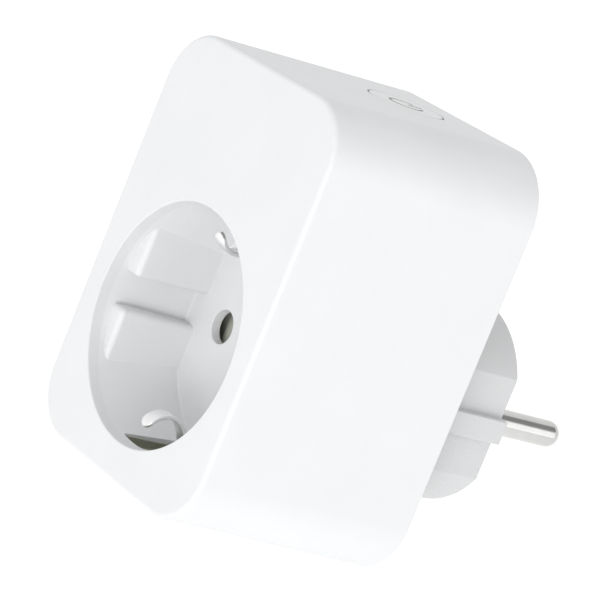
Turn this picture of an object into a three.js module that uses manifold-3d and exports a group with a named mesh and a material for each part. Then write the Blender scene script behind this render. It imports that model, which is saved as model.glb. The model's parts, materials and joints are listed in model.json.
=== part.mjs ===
// Plug-in power meter with a CEE 7/3 (Schuko) socket in front and a CEE 7/4 plug behind.
// Millimetres, +Z up. The plug pins point to +Y and the socket faces -Y.
// The origin is the centre of the plug face, midway between the two pins.

import * as THREE from 'three';
import { mergeVertices } from 'three/addons/utils/BufferGeometryUtils.js';
import Module from 'manifold-3d';

const wasm = await Module();
wasm.setup();

// ---------------------------------------------------------------- driving dimensions

const BODY = {
  width: 52,
  height: 73.5,
  depth: 43.2,
  axisHeight: 27.2,
  cornerRadius: 10,
  frontEdge: 0.85,
  draft: 1.2,
  frontWall: 2.2,
  sideWall: 2,
  coverLip: 1.4,
};
const BOSS = { radius: 18.5, length: 20, flatX: 15.9, ribX: 17.8, ribHalfHeight: 2.15, wall: 2.5 };
const PIN = {
  radius: 2.4,
  length: 19,
  spacing: 19,
  tailRadius: 1.6,
  tailProud: 0.3,
  flangeRadius: 3.2,
  flangeHeight: 1.4,
};
const WELL = {
  mouthRadius: 21,
  lip: 0.3,
  floorRadius: 20,
  depth: 18.5,
  wall: 1.4,
  floor: 1.85,
  flangeRadius: 23.8,
  flangeHeight: 1.2,
  holeRadius: 3,
  flangeFit: 0.05,
  pilotFloor: 1.2,
};
const PAD = { faceX: 16.8, grooveHalf: 3, topZ: 12, frontDepth: 3.3, intoWall: 0.7 };
const EARTH = {
  slotHalf: 3.6,
  slotFront: 3.3,
  slotBack: 16,
  slotInner: 16,
  flangeSetback: 0.2,
  stripHalf: 3.2,
  stripZ: 22.25,
  thickness: 0.7,
  noseHalf: 1.5,
  plugZ: 16.5,
  bulgeZ: 17.2,
  flangeInner: 2.8,
  flangeOuter: 3.15,
  flangeZ: 20.65,
  flangeBack: -48.5,
};
const BUTTON = { y: -33.3, holeRadius: 6.9, radius: 6.7, wall: 1.4, flangeRadius: 7.6, holeReach: 5 };
const SHUTTER = {
  front: -42.75,
  back: -40.55,
  bladeHalf: 3.2,
  railOuter: 5,
  rampHalf: 3.05,
  rampStart: 2.6,
  rampKnee: -0.4,
  kneeDepth: 0.45,
  rampDepth: 1.7,
};
const SCREW = {
  radius: 1.25,
  headRadius: 2.4,
  headHeight: 1.5,
  pilotRadius: 1.35,
  socketRadius: 1.2,
  socketDepth: 0.9,
  socketSides: 6,
  coverLength: 8,
  boardLength: 6,
  carrierLength: 4,
};
const BOARD = { front: -24.7, back: -23.3, halfWidth: 22, low: -20, high: 43 };
const FIT = 0.1;
const PIN_FIT = 0.05;
const CLEAR = 0.3;

// How far a cutter runs past the face it opens, and how far a joined piece sinks into its neighbour.
const OVERRUN = 1;
const SINK = 0.5;

const Y_BACK = -BOSS.length;
const Y_FRONT = Y_BACK - BODY.depth;
const Y_FLOOR = Y_FRONT + WELL.depth;
const Y_FLOOR_BACK = Y_FLOOR + WELL.floor;
const Y_PLATE_BACK = Y_FRONT + BODY.frontWall;
const Z_BOTTOM = -BODY.axisHeight;
const Z_TOP = BODY.height - BODY.axisHeight;
const PIN_X = PIN.spacing / 2;
const pinPlaces = [-PIN_X, PIN_X];
const COVER = {
  back: Y_BACK,
  front: Y_BACK - 2.2,
  padFront: Y_BACK - 4,
  recessRadius: 2.8,
  screwHead: Y_BACK - 1,
  relief: 0.8,
  lipGap: 0.15,
  seatGap: 0.2,
  padWall: 0.8,
  padInset: 2.3,
};
const PILLAR = { radius: 4.3, front: -14 };
const BOSS_END = { face: 2.2, windowBack: 1.6, windowFront: 4.5, channelIn: 2, channelOut: 0.8 };
const POST = { x: 20.3, lowZ: -21.5, highZ: 40.6, radius: 3, back: COVER.padFront - 0.2 };
const BOARD_POST = { x: 20.8, z: 21, radius: 2.4, back: BOARD.front - 0.1 };
const CARRIER = { front: -40.2, back: -38.8, radius: 20.6, rimRadius: 19.7, rimFront: Y_FLOOR_BACK + FIT };
const CARRIER_SCREW = { x: 8, z: 13, bossRadius: 2.6, bossBack: CARRIER.front - FIT };
const CHAMBER = { halfX: 4.5, halfZ: 5.6, wall: 1, back: -26 };
const SPRING_PEG = { x0: 4.4, x1: 6.1, halfZ: 2.6 };

const SEGMENTS = { corner: 6, edge: 3, tip: 6, well: 40, boss: 40, medium: 20, small: 12 };
const SAMPLES = { leaf: 40, nose: 16, contact: 12 };
const MERGE_TOLERANCE = 1e-4;
const QUARTER = Math.PI / 2;

// Parts on the main board end here, clear of its front face.
const Y_SEAT = BOARD.front - CLEAR;

// Each box is [x low, x high, y low, y high, z low, z high].
const BOXES = {
  relay: [-21.8, -1, Y_SEAT - 15.7, Y_SEAT, 24.4, 37],
  film_capacitor: [0, 6, Y_SEAT - 11.5, Y_SEAT, 24.6, 37],
  metering_chip: [-4, 2, Y_SEAT - 1.5, Y_SEAT, -14.6, -9.6],
  shunt_resistor: [4.4, 14.4, Y_SEAT - 1.2, Y_SEAT, 15.2, 18.4],
  radio_shield: [-7.5, 7.5, -58.4, -45.4, 36.3, 38.9],
  board_header: [-7.6, 7.6, Y_SEAT - 3.5, Y_SEAT, 37.3, 38.9],
  tact_switch_body: [-3, 3, BUTTON.y - 3, BUTTON.y + 3, 40.3, 43.3],
  indicator_led: [3.4, 4.8, BUTTON.y - 0.7, BUTTON.y + 0.7, 40.3, 41.1],
};
const CONTROL_BOARD = [-12, 12, -59, Y_SEAT, 39.2, 40.2];
const TRANSFORMER = {
  x: 16.4,
  z: 30.4,
  halfWidth: 5.2,
  halfHeight: 5.4,
  limb: 1.4,
  front: -36.5,
  back: -28.3,
};
const WINDING = { radius: 3.4, flangeRadius: 3.7, front: -36.1, flange: 1, base: -28.1, baseHalf: 5 };
const VARISTOR = { x: 8.6, z: 30.4, y: -30.9, radius: 5.2, halfThickness: 1.8 };
const CAPACITORS = [
  { name: 'bulk_capacitor_upper', x: 14.7, z: 39.9, radius: 2.2, front: -36.3 },
  { name: 'bulk_capacitor_lower', x: -12.6, z: 13.6, radius: 4, front: -37.6 },
];
const FUSE = { x: -13.6, z: -11.6, y: -28, halfLength: 4.8, radius: 2, capLength: 1.6, capRadius: 2.3 };
const CHOKE = { x: 10.4, z: -12.2, y: -28.9, radius: 3.6, halfLength: 3.6, coreRadius: 2.2, flange: 0.8 };
const TACT_PLUNGER = { radius: 1.7, bore: 1.9, low: 42.7, high: 43.95, boreLow: 42.1 };
const LIGHT_GUIDE = { x: 4.1, radius: 1, low: 41.8, high: 45.4 };
const CAP = { low: 43.9, flangeTop: 44.75, underTop: 45.45, stemRadius: 1.6, stemLow: 44, trim: 3 };
const TRIM_BLOCK = { width: 40, length: 80, height: 20 };
const PILOT_DEPTH = 20;
const SPRING = {
  wire: 0.2,
  radius: 0.8,
  turns: 7,
  stepsPerTurn: 8,
  sides: 5,
  left: -6.1,
  right: 4.2,
  y: -41.6,
};
const YOKE = { front: -37, back: -34, thickness: 0.8, tip: -2, legX: 17 };
const BUS_BAR = {
  front: BOARD.back + FIT,
  thickness: 0.8,
  halfWidth: 2.2,
  holeRadius: 1.75,
  low: -2.6,
  neutralTop: 2.6,
  lineTop: 27,
  reach: 4,
  reachHalf: 2,
};
const CONTACT = { halfWidth: 3.2, web: 0.6, webHalfZ: 2.8, webFront: -34, webBack: -26.8 };
const TAIL = { halfZ: 0.9, back: -22.6 };

const LOOKS = {
  shell_white: { color: 0xf3f4f5, roughness: 0.42, metalness: 0 },
  well_white: { color: 0xeeeff0, roughness: 0.45, metalness: 0 },
  plug_white: { color: 0xe6e7e8, roughness: 0.5, metalness: 0 },
  button_white: { color: 0xf0f1f2, roughness: 0.4, metalness: 0 },
  nickel: { color: 0xc9c8c2, roughness: 0.2, metalness: 1 },
  spring_metal: { color: 0xb9b6a6, roughness: 0.3, metalness: 1 },
  brass: { color: 0xc9a552, roughness: 0.3, metalness: 1 },
  copper: { color: 0xb8703f, roughness: 0.35, metalness: 1 },
  steel: { color: 0x8d8f92, roughness: 0.35, metalness: 1 },
  carrier_grey: { color: 0x8b8c80, roughness: 0.55, metalness: 0 },
  board_green: { color: 0x1f5a3c, roughness: 0.45, metalness: 0 },
  relay_black: { color: 0x1d1f22, roughness: 0.4, metalness: 0 },
  film_yellow: { color: 0xd8b63a, roughness: 0.4, metalness: 0 },
  varistor_blue: { color: 0x2a63a8, roughness: 0.45, metalness: 0 },
  core_grey: { color: 0x3a3b3d, roughness: 0.6, metalness: 0 },
  sleeve_dark: { color: 0x24303f, roughness: 0.35, metalness: 0 },
  ceramic_white: { color: 0xdcd9d0, roughness: 0.5, metalness: 0 },
  guide_clear: { color: 0xdfe6ea, roughness: 0.15, metalness: 0 },
};

// ---------------------------------------------------------------- solids from three.js geometry

function isFullTriangle(index, first) {
  const [a, b, c] = [index[first], index[first + 1], index[first + 2]];
  return a !== b && b !== c && c !== a;
}

function signedVolume(position, index) {
  const corner = [new THREE.Vector3(), new THREE.Vector3(), new THREE.Vector3()];
  let sixVolumes = 0;
  for (let first = 0; first < index.length; first += 3) {
    corner.forEach((point, k) => point.fromArray(position, 3 * index[first + k]));
    sixVolumes += corner[0].dot(corner[1].clone().cross(corner[2]));
  }
  return sixVolumes;
}

// Welds a closed geometry's vertices, drops the slivers at its poles and faces it outwards.
function toSolid(geometry) {
  geometry.deleteAttribute('normal');
  geometry.deleteAttribute('uv');
  const welded = mergeVertices(geometry, MERGE_TOLERANCE);
  const position = welded.attributes.position.array;
  const index = [];
  for (let first = 0; first < welded.index.count; first += 3) {
    if (isFullTriangle(welded.index.array, first)) {
      index.push(...welded.index.array.slice(first, first + 3));
    }
  }
  if (signedVolume(position, index) < 0) {
    index.reverse();
  }
  const mesh = new wasm.Mesh({ numProp: 3, vertProperties: position, triVerts: new Uint32Array(index) });
  return new wasm.Manifold(mesh);
}

function toGeometry(solid) {
  const mesh = solid.getMesh();
  const geometry = new THREE.BufferGeometry();
  geometry.setAttribute('position', new THREE.BufferAttribute(mesh.vertProperties, 3));
  geometry.setIndex(new THREE.BufferAttribute(mesh.triVerts, 1));
  geometry.computeVertexNormals();
  return geometry;
}

const join = (first, ...others) => others.reduce((sum, solid) => sum.add(solid), first);
const cut = (first, ...others) => others.reduce((rest, solid) => rest.subtract(solid), first);

function box(x0, x1, y0, y1, z0, z1) {
  const geometry = new THREE.BoxGeometry(x1 - x0, y1 - y0, z1 - z0);
  geometry.translate((x0 + x1) / 2, (y0 + y1) / 2, (z0 + z1) / 2);
  return toSolid(geometry);
}

function rodY(radius, y0, y1, x, z, sides = SEGMENTS.small) {
  const geometry = new THREE.CylinderGeometry(radius, radius, y1 - y0, sides);
  geometry.translate(x, (y0 + y1) / 2, z);
  return toSolid(geometry);
}

function rodZ(radius, z0, z1, x, y, sides = SEGMENTS.small) {
  const geometry = new THREE.CylinderGeometry(radius, radius, z1 - z0, sides);
  geometry.rotateX(QUARTER);
  geometry.translate(x, y, (z0 + z1) / 2);
  return toSolid(geometry);
}

function rodX(radius, x0, x1, y, z, sides = SEGMENTS.small) {
  const geometry = new THREE.CylinderGeometry(radius, radius, x1 - x0, sides);
  geometry.rotateZ(QUARTER);
  geometry.translate((x0 + x1) / 2, y, z);
  return toSolid(geometry);
}

// A solid of revolution about the Y axis from [radius, y] pairs that start and end on the axis.
function turned(profile, sides) {
  const points = profile.map(([radius, y]) => new THREE.Vector2(radius, y));
  return toSolid(new THREE.LatheGeometry(points, sides));
}

// A prism along X from a closed outline of [y, z] pairs.
function prismX(outline, x0, x1) {
  const shape = new THREE.Shape(outline.map(([y, z]) => new THREE.Vector2(y, z)));
  const geometry = new THREE.ExtrudeGeometry(shape, { depth: x1 - x0, bevelEnabled: false });
  const toAxes = new THREE.Matrix4().set(0, 0, 1, x0, 1, 0, 0, 0, 0, 1, 0, 0, 0, 0, 0, 1);
  geometry.applyMatrix4(toAxes);
  return toSolid(geometry);
}

// A strip of constant thickness along a smooth line through [y, z] points, as a closed outline.
function ribbon(points, thickness, samples) {
  const places = points.map(([y, z]) => new THREE.Vector3(y, z, 0));
  const line = new THREE.CatmullRomCurve3(places, false, 'centripetal');
  const inner = [];
  const outer = [];
  for (let k = 0; k <= samples; k += 1) {
    const place = line.getPoint(k / samples);
    const along = line.getTangent(k / samples);
    const half = thickness / 2;
    inner.push([place.x - along.y * half, place.y + along.x * half]);
    outer.unshift([place.x + along.y * half, place.y - along.x * half]);
  }
  return [...inner, ...outer];
}

// ---------------------------------------------------------------- the drafted, rounded body form

// The body's outline at plane y, moved inwards by inset, as [x, z] pairs going round once.
function bodyOutline(y, inset) {
  const grow = (BODY.draft * (y - Y_FRONT)) / BODY.depth - inset;
  const radius = BODY.cornerRadius + grow;
  const centreX = BODY.width / 2 - BODY.cornerRadius;
  const centres = [
    [centreX, Z_TOP - BODY.cornerRadius],
    [-centreX, Z_TOP - BODY.cornerRadius],
    [-centreX, Z_BOTTOM + BODY.cornerRadius],
    [centreX, Z_BOTTOM + BODY.cornerRadius],
  ];
  const outline = [];
  centres.forEach(([x, z], quadrant) => {
    for (let k = 0; k <= SEGMENTS.corner; k += 1) {
      const angle = (quadrant + k / SEGMENTS.corner) * QUARTER;
      outline.push([x + radius * Math.cos(angle), z + radius * Math.sin(angle)]);
    }
  });
  return outline;
}

// A closed solid through rings given as [y, inset] pairs.
function bodyLoft(rings) {
  const outlines = rings.map(([y, inset]) => bodyOutline(y, inset).map(([x, z]) => [x, y, z]));
  const count = outlines[0].length;
  const vertices = outlines.flat();
  const index = [];
  for (let ring = 0; ring + 1 < outlines.length; ring += 1) {
    for (let k = 0; k < count; k += 1) {
      const next = (k + 1) % count;
      const near = [ring * count + k, ring * count + next];
      const far = near.map((corner) => corner + count);
      index.push(near[0], near[1], far[1], near[0], far[1], far[0]);
    }
  }
  const lastRing = (outlines.length - 1) * count;
  for (let k = 1; k + 1 < count; k += 1) {
    index.push(0, k + 1, k);
    index.push(lastRing, lastRing + k, lastRing + k + 1);
  }
  const geometry = new THREE.BufferGeometry();
  geometry.setAttribute('position', new THREE.Float32BufferAttribute(vertices.flat(), 3));
  geometry.setIndex(index);
  return toSolid(geometry);
}

function outerForm() {
  const rings = [];
  for (let k = 0; k <= SEGMENTS.edge; k += 1) {
    const angle = (k / SEGMENTS.edge) * QUARTER;
    const inset = BODY.frontEdge * (1 - Math.sin(angle));
    rings.push([Y_FRONT + BODY.frontEdge * (1 - Math.cos(angle)), inset]);
  }
  rings.push([Y_BACK, 0]);
  return bodyLoft(rings);
}

// ---------------------------------------------------------------- front shell

const postPlaces = [-1, 1].flatMap((side) => [
  [side * POST.x, POST.lowZ],
  [side * POST.x, POST.highZ],
]);
const boardPostPlaces = [-1, 1].map((side) => [side * BOARD_POST.x, BOARD_POST.z]);

// The radius of the well's cone at plane y.
function wellRadius(y) {
  return WELL.mouthRadius - ((WELL.mouthRadius - WELL.floorRadius) * (y - Y_FRONT)) / WELL.depth;
}

// The socket mouth: a rounded lip that runs into the well's cone.
function mouthCutter() {
  const lip = WELL.lip;
  const profile = [
    [0, Y_FRONT - OVERRUN],
    [WELL.mouthRadius + lip, Y_FRONT - OVERRUN],
  ];
  for (let k = 0; k <= SEGMENTS.edge; k += 1) {
    const angle = (k / SEGMENTS.edge) * QUARTER;
    const radius = wellRadius(Y_FRONT + lip) + lip * (1 - Math.sin(angle));
    profile.push([radius, Y_FRONT + lip * (1 - Math.cos(angle))]);
  }
  const end = Y_PLATE_BACK + OVERRUN;
  profile.push([wellRadius(end), end], [0, end]);
  return turned(profile, SEGMENTS.well);
}

function frontShell() {
  const inside = bodyLoft([[Y_PLATE_BACK, BODY.sideWall], [Y_BACK + OVERRUN, BODY.sideWall]]);
  const seatFront = COVER.front - COVER.seatGap;
  const coverSeat = bodyLoft([[seatFront, BODY.coverLip], [Y_BACK + OVERRUN, BODY.coverLip]]);
  const posts = postPlaces.map(([x, z]) => rodY(POST.radius, Y_PLATE_BACK - OVERRUN, POST.back, x, z));
  const boardPosts = boardPostPlaces.map(
    ([x, z]) => rodY(BOARD_POST.radius, Y_PLATE_BACK - OVERRUN, BOARD_POST.back, x, z));
  const pilots = [...postPlaces, ...boardPostPlaces].map(
    ([x, z]) => rodY(SCREW.pilotRadius, Y_BACK - PILOT_DEPTH, Y_BACK, x, z));
  const hollow = cut(outerForm(), inside, coverSeat);
  const holeZ = [Z_TOP - BUTTON.holeReach, Z_TOP + BUTTON.holeReach];
  const buttonHole = rodZ(BUTTON.holeRadius, ...holeZ, 0, BUTTON.y, SEGMENTS.medium);
  return cut(join(hollow, ...posts, ...boardPosts), ...pilots, mouthCutter(), buttonHole);
}

// ---------------------------------------------------------------- socket well with its guide pads

const carrierScrewPlaces = [[CARRIER_SCREW.x, CARRIER_SCREW.z], [-CARRIER_SCREW.x, -CARRIER_SCREW.z]];

function wellCup() {
  const front = Y_PLATE_BACK + WELL.flangeFit;
  const flangeBack = front + WELL.flangeHeight;
  return turned([
    [0, Y_FLOOR_BACK],
    [WELL.floorRadius + WELL.wall, Y_FLOOR_BACK],
    [wellRadius(flangeBack) + WELL.wall, flangeBack],
    [WELL.flangeRadius, flangeBack],
    [WELL.flangeRadius, front],
    [wellRadius(front), front],
    [WELL.floorRadius, Y_FLOOR],
    [0, Y_FLOOR],
  ], SEGMENTS.well);
}

function guidePads() {
  const front = Y_FRONT + PAD.frontDepth;
  const limit = turned([
    [0, front - OVERRUN],
    [wellRadius(front - OVERRUN) + PAD.intoWall, front - OVERRUN],
    [WELL.floorRadius + PAD.intoWall, Y_FLOOR + OVERRUN],
    [0, Y_FLOOR + OVERRUN],
  ], SEGMENTS.well);
  const blocks = [];
  for (const side of [-1, 1]) {
    for (const level of [-1, 1]) {
      const x = [side * PAD.faceX, side * WELL.flangeRadius].sort((a, b) => a - b);
      const z = [level * PAD.grooveHalf, level * PAD.topZ].sort((a, b) => a - b);
      blocks.push(box(x[0], x[1], front, Y_FLOOR + SINK, z[0], z[1]));
    }
  }
  return join(...blocks).intersect(limit);
}

function socketWell() {
  const bosses = carrierScrewPlaces.map(
    ([x, z]) => rodY(CARRIER_SCREW.bossRadius, Y_FLOOR_BACK - OVERRUN, CARRIER_SCREW.bossBack, x, z));
  const pilots = carrierScrewPlaces.map(
    ([x, z]) => rodY(SCREW.pilotRadius, Y_FLOOR + WELL.pilotFloor, CARRIER_SCREW.bossBack + OVERRUN, x, z));
  const holes = pinPlaces.map(
    (x) => rodY(WELL.holeRadius, Y_FLOOR - OVERRUN, Y_FLOOR_BACK + OVERRUN, x, 0, SEGMENTS.medium));
  const slots = [-1, 1].map((level) => {
    const y = [Y_FRONT + EARTH.slotFront, Y_FRONT + EARTH.slotBack];
    const z = [level * EARTH.slotInner, level * (WELL.flangeRadius + OVERRUN)].sort((a, b) => a - b);
    return box(-EARTH.slotHalf, EARTH.slotHalf, ...y, ...z);
  });
  return cut(join(wellCup(), guidePads(), ...bosses), ...pilots, ...holes, ...slots);
}

// ---------------------------------------------------------------- back cover with the plug boss

function bossForm(inset, y0, y1) {
  const drum = rodY(BOSS.radius - inset, y0, y1, 0, 0, SEGMENTS.boss);
  const half = BOSS.flatX - inset;
  return drum.intersect(box(-half, half, y0 - OVERRUN, y1 + OVERRUN, -BOSS.radius, BOSS.radius));
}

function bossRibs() {
  const height = BOSS.ribHalfHeight;
  return [-1, 1].map((side) => {
    const x = [side * (BOSS.flatX - OVERRUN), side * BOSS.ribX].sort((a, b) => a - b);
    return box(x[0], x[1], Y_BACK - OVERRUN, 0, -height, height);
  });
}

function earthWindows() {
  const half = EARTH.stripHalf + CLEAR;
  const channels = [];
  for (const level of [-1, 1]) {
    const inner = level * (EARTH.plugZ - BOSS_END.channelIn);
    const inside = [inner, level * (EARTH.plugZ + BOSS_END.channelOut)].sort((a, b) => a - b);
    const outside = [inner, level * (BOSS.radius + OVERRUN)].sort((a, b) => a - b);
    channels.push(box(-half, half, COVER.padFront - OVERRUN, -BOSS_END.windowBack, ...inside));
    channels.push(box(
      -half, half, Y_BACK + BOSS_END.windowFront, -BOSS_END.windowBack, outside[0], outside[1]));
  }
  return channels;
}

function backCover() {
  const lip = BODY.coverLip + COVER.lipGap;
  const plate = bodyLoft([[COVER.front, lip], [COVER.back, lip]]);
  const pads = postPlaces.map(
    ([x, z]) => rodY(POST.radius + COVER.padWall, COVER.padFront, COVER.front + SINK, x, z));
  const padLimit = bodyLoft([[COVER.padFront - OVERRUN, COVER.padInset], [Y_BACK, COVER.padInset]]);
  const trimmedPads = join(...pads).intersect(padLimit);
  const boss = bossForm(0, COVER.front + SINK, 0);
  const cavity = bossForm(BOSS.wall, COVER.front - OVERRUN, -BOSS_END.face);
  const pillars = pinPlaces.map((x) => rodY(PILLAR.radius, PILLAR.front, -OVERRUN, x, 0, SEGMENTS.medium));
  const pinHoles = pinPlaces.map((x) => rodY(PIN.radius + PIN_FIT, Y_BACK, OVERRUN, x, 0, SEGMENTS.medium));
  const heads = postPlaces.map(
    ([x, z]) => rodY(COVER.recessRadius, COVER.screwHead - SCREW.headHeight, Y_BACK + OVERRUN, x, z));
  const reliefs = boardPostPlaces.map(
    ([x, z]) => rodY(COVER.recessRadius, COVER.front - OVERRUN, COVER.front + COVER.relief, x, z));
  const shanks = postPlaces.map(
    ([x, z]) => rodY(SCREW.pilotRadius, COVER.padFront - OVERRUN, Y_BACK, x, z));
  const shell = cut(join(plate, trimmedPads, boss, ...bossRibs()), cavity, ...earthWindows());
  return cut(join(shell, ...pillars), ...pinHoles, ...heads, ...shanks, ...reliefs);
}

// ---------------------------------------------------------------- plug pins and earth strips

function plugPin(x) {
  const straight = PIN.length - PIN.radius;
  const flangeBack = PILLAR.front - FIT;
  const profile = [
    [0, BOARD.front - PIN.tailProud],
    [PIN.tailRadius, BOARD.front - PIN.tailProud],
    [PIN.tailRadius, flangeBack - PIN.flangeHeight],
    [PIN.flangeRadius, flangeBack - PIN.flangeHeight],
    [PIN.flangeRadius, flangeBack],
    [PIN.radius, flangeBack],
  ];
  for (let k = 0; k <= SEGMENTS.tip; k += 1) {
    const angle = (k / SEGMENTS.tip) * QUARTER;
    profile.push([PIN.radius * Math.cos(angle), straight + PIN.radius * Math.sin(angle)]);
  }
  return turned(profile, SEGMENTS.medium).translate([x, 0, 0]);
}

// One stamped strip: the leaf with folded sides in the well's slot, the run into the boss, and the nose.
function earthStrip(level) {
  const leafFront = Y_FRONT + EARTH.slotFront + CLEAR;
  const mirrored = (points) => points.map(([y, z]) => [y, level * z]);
  const leaf = mirrored([
    [leafFront, EARTH.stripZ],
    [-44, EARTH.stripZ],
    [-33.5, EARTH.stripZ],
    [-29.6, EARTH.stripZ],
    [-28.2, EARTH.stripZ - 0.3],
    [-27.5, EARTH.stripZ - 1.3],
    [-27.2, 19],
    [-26.6, 17.2],
    [-25.4, EARTH.plugZ],
    [-20, EARTH.plugZ],
    [-14.5, EARTH.plugZ],
    [-8.5, EARTH.bulgeZ],
    [-2.2, EARTH.plugZ - 0.4],
  ]);
  const nose = mirrored([
    [Y_FRONT + 15.2, EARTH.stripZ - 0.1],
    [Y_FRONT + 13, 19.2],
    [Y_FRONT + 11, 16.4],
    [Y_FRONT + 9.4, 15.2],
    [Y_FRONT + 7.7, 14.8],
    [Y_FRONT + 6.2, 15.1],
    [Y_FRONT + 5.1, 15.8],
    [Y_FRONT + 4.4, 16.7],
    [Y_FRONT + 4.1, 17.6],
  ]);
  const strip = prismX(ribbon(leaf, EARTH.thickness, SAMPLES.leaf), -EARTH.stripHalf, EARTH.stripHalf);
  const flanges = [-1, 1].map((side) => {
    const x = [side * EARTH.flangeInner, side * EARTH.flangeOuter].sort((a, b) => a - b);
    const z = [level * EARTH.flangeZ, level * EARTH.stripZ].sort((a, b) => a - b);
    return box(...x, leafFront + EARTH.flangeSetback, EARTH.flangeBack, ...z);
  });
  const noseStrip = prismX(ribbon(nose, EARTH.thickness, SAMPLES.nose), -EARTH.noseHalf, EARTH.noseHalf);
  return join(strip, noseStrip, ...flanges);
}

// A yoke in front of the main board that ties the two earth strips together.
function earthYoke() {
  const near = EARTH.stripZ + EARTH.thickness / 2 + PIN_FIT;
  const far = near + YOKE.thickness;
  const leg = box(YOKE.legX - YOKE.thickness, YOKE.legX, YOKE.front, YOKE.back, -far, far);
  const upperArm = box(YOKE.tip, YOKE.legX, YOKE.front, YOKE.back, near, far);
  const lowerArm = box(YOKE.tip, YOKE.legX, YOKE.front, YOKE.back, -far, -near);
  return join(leg, upperArm, lowerArm);
}

// ---------------------------------------------------------------- contacts and their carrier

function contactCarrier() {
  const disc = rodY(CARRIER.radius, CARRIER.front, CARRIER.back, 0, 0, SEGMENTS.well);
  const rim = rodY(CARRIER.radius, CARRIER.rimFront, CARRIER.front + SINK, 0, 0, SEGMENTS.well);
  const roomFront = CARRIER.rimFront - OVERRUN;
  const shutterRoom = rodY(CARRIER.rimRadius, roomFront, CARRIER.front, 0, 0, SEGMENTS.well);
  const chambers = pinPlaces.map((x) => (
    box(
      x - CHAMBER.halfX, x + CHAMBER.halfX, CARRIER.back - SINK, CHAMBER.back,
      -CHAMBER.halfZ, CHAMBER.halfZ)
  ));
  const roomX = CHAMBER.halfX - CHAMBER.wall;
  const roomZ = CHAMBER.halfZ - CHAMBER.wall;
  const rooms = pinPlaces.map((x) => (
    box(x - roomX, x + roomX, CARRIER.back, CHAMBER.back + OVERRUN, -roomZ, roomZ)
  ));
  const through = [CARRIER.front - OVERRUN, CARRIER.back + OVERRUN];
  const holes = pinPlaces.map(
    (x) => rodY(WELL.holeRadius, ...through, x, 0, SEGMENTS.medium));
  const screwHoles = carrierScrewPlaces.map(
    ([x, z]) => rodY(SCREW.pilotRadius, ...through, x, z));
  const pegY = [CARRIER.rimFront, CARRIER.front + SINK];
  const peg = box(SPRING_PEG.x0, SPRING_PEG.x1, ...pegY, -SPRING_PEG.halfZ, SPRING_PEG.halfZ);
  const plate = join(cut(join(disc, rim), shutterRoom), ...chambers, peg);
  return cut(plate, ...rooms, ...holes, ...screwHoles);
}

// Two sprung leaves that grip a plug pin, joined by a side web whose tail enters the main board.
// The leaves are shown spread, as a pin holds them.
function receptacleContact(side) {
  const x = side * PIN_X;
  const leaf = [
    [-38.4, 3.7],
    [-36.8, 3.1],
    [-34.6, 2.8],
    [-32.2, 2.95],
    [-29.6, 3.2],
    [CONTACT.webBack, 3.3],
  ];
  const leaves = [-1, 1].map((level) => {
    const outline = ribbon(leaf.map(([y, z]) => [y, level * z]), CONTACT.web, SAMPLES.contact);
    return prismX(outline, x - CONTACT.halfWidth, x + CONTACT.halfWidth);
  });
  const outer = x + side * CONTACT.halfWidth;
  const webX = [outer - side * CONTACT.web, outer].sort((a, b) => a - b);
  const webZ = CONTACT.webHalfZ + CONTACT.web / 2;
  const web = box(...webX, CONTACT.webFront, CONTACT.webBack, -webZ, webZ);
  const tail = box(...webX, CONTACT.webBack - OVERRUN, TAIL.back, -TAIL.halfZ, TAIL.halfZ);
  return join(...leaves, web, tail);
}

// ---------------------------------------------------------------- child-protection shutter

// The pins press on the two ramps, which slides the whole frame to +X and clears both holes.
function shutterSlide() {
  const end = PIN_X + SHUTTER.bladeHalf;
  const frame = box(-end, end, SHUTTER.front, SHUTTER.back, -SHUTTER.railOuter, SHUTTER.railOuter);
  const windowEnd = PIN_X - SHUTTER.bladeHalf;
  const half = SHUTTER.bladeHalf;
  const opening = box(-windowEnd, windowEnd, SHUTTER.front - OVERRUN, SHUTTER.back + OVERRUN, -half, half);
  const ramps = pinPlaces.map((x) => slab([
    [x + SHUTTER.rampStart, SHUTTER.front],
    [x + SHUTTER.rampKnee, SHUTTER.front + SHUTTER.kneeDepth],
    [x - half - OVERRUN, SHUTTER.front + SHUTTER.rampDepth],
    [x - half - OVERRUN, SHUTTER.front - OVERRUN],
    [x + SHUTTER.rampStart, SHUTTER.front - OVERRUN],
  ], -SHUTTER.rampHalf, SHUTTER.rampHalf));
  return cut(frame, opening, ...ramps);
}

// A prism along Z from a closed outline of [x, y] pairs.
function slab(outline, z0, z1) {
  const shape = new THREE.Shape(outline.map(([x, y]) => new THREE.Vector2(x, y)));
  const geometry = new THREE.ExtrudeGeometry(shape, { depth: z1 - z0, bevelEnabled: false });
  geometry.translate(0, 0, z0);
  return toSolid(geometry);
}

class Helix extends THREE.Curve {
  getPoint(t, target = new THREE.Vector3()) {
    const angle = t * SPRING.turns * 2 * Math.PI;
    const first = SPRING.left + SPRING.wire;
    const last = SPRING.right - SPRING.wire;
    const y = SPRING.y + SPRING.radius * Math.cos(angle);
    const z = SPRING.radius * Math.sin(angle);
    return target.set(first + t * (last - first), y, z);
  }
}

function shutterSpring() {
  const section = new THREE.Shape();
  for (let k = 0; k < SPRING.sides; k += 1) {
    const angle = (k / SPRING.sides) * 2 * Math.PI;
    const point = [SPRING.wire * Math.cos(angle), SPRING.wire * Math.sin(angle)];
    if (k === 0) {
      section.moveTo(...point);
    } else {
      section.lineTo(...point);
    }
  }
  const steps = SPRING.turns * SPRING.stepsPerTurn;
  const path = { steps, extrudePath: new Helix(), bevelEnabled: false };
  return toSolid(new THREE.ExtrudeGeometry(section, path));
}

// ---------------------------------------------------------------- push button and its switch

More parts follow.
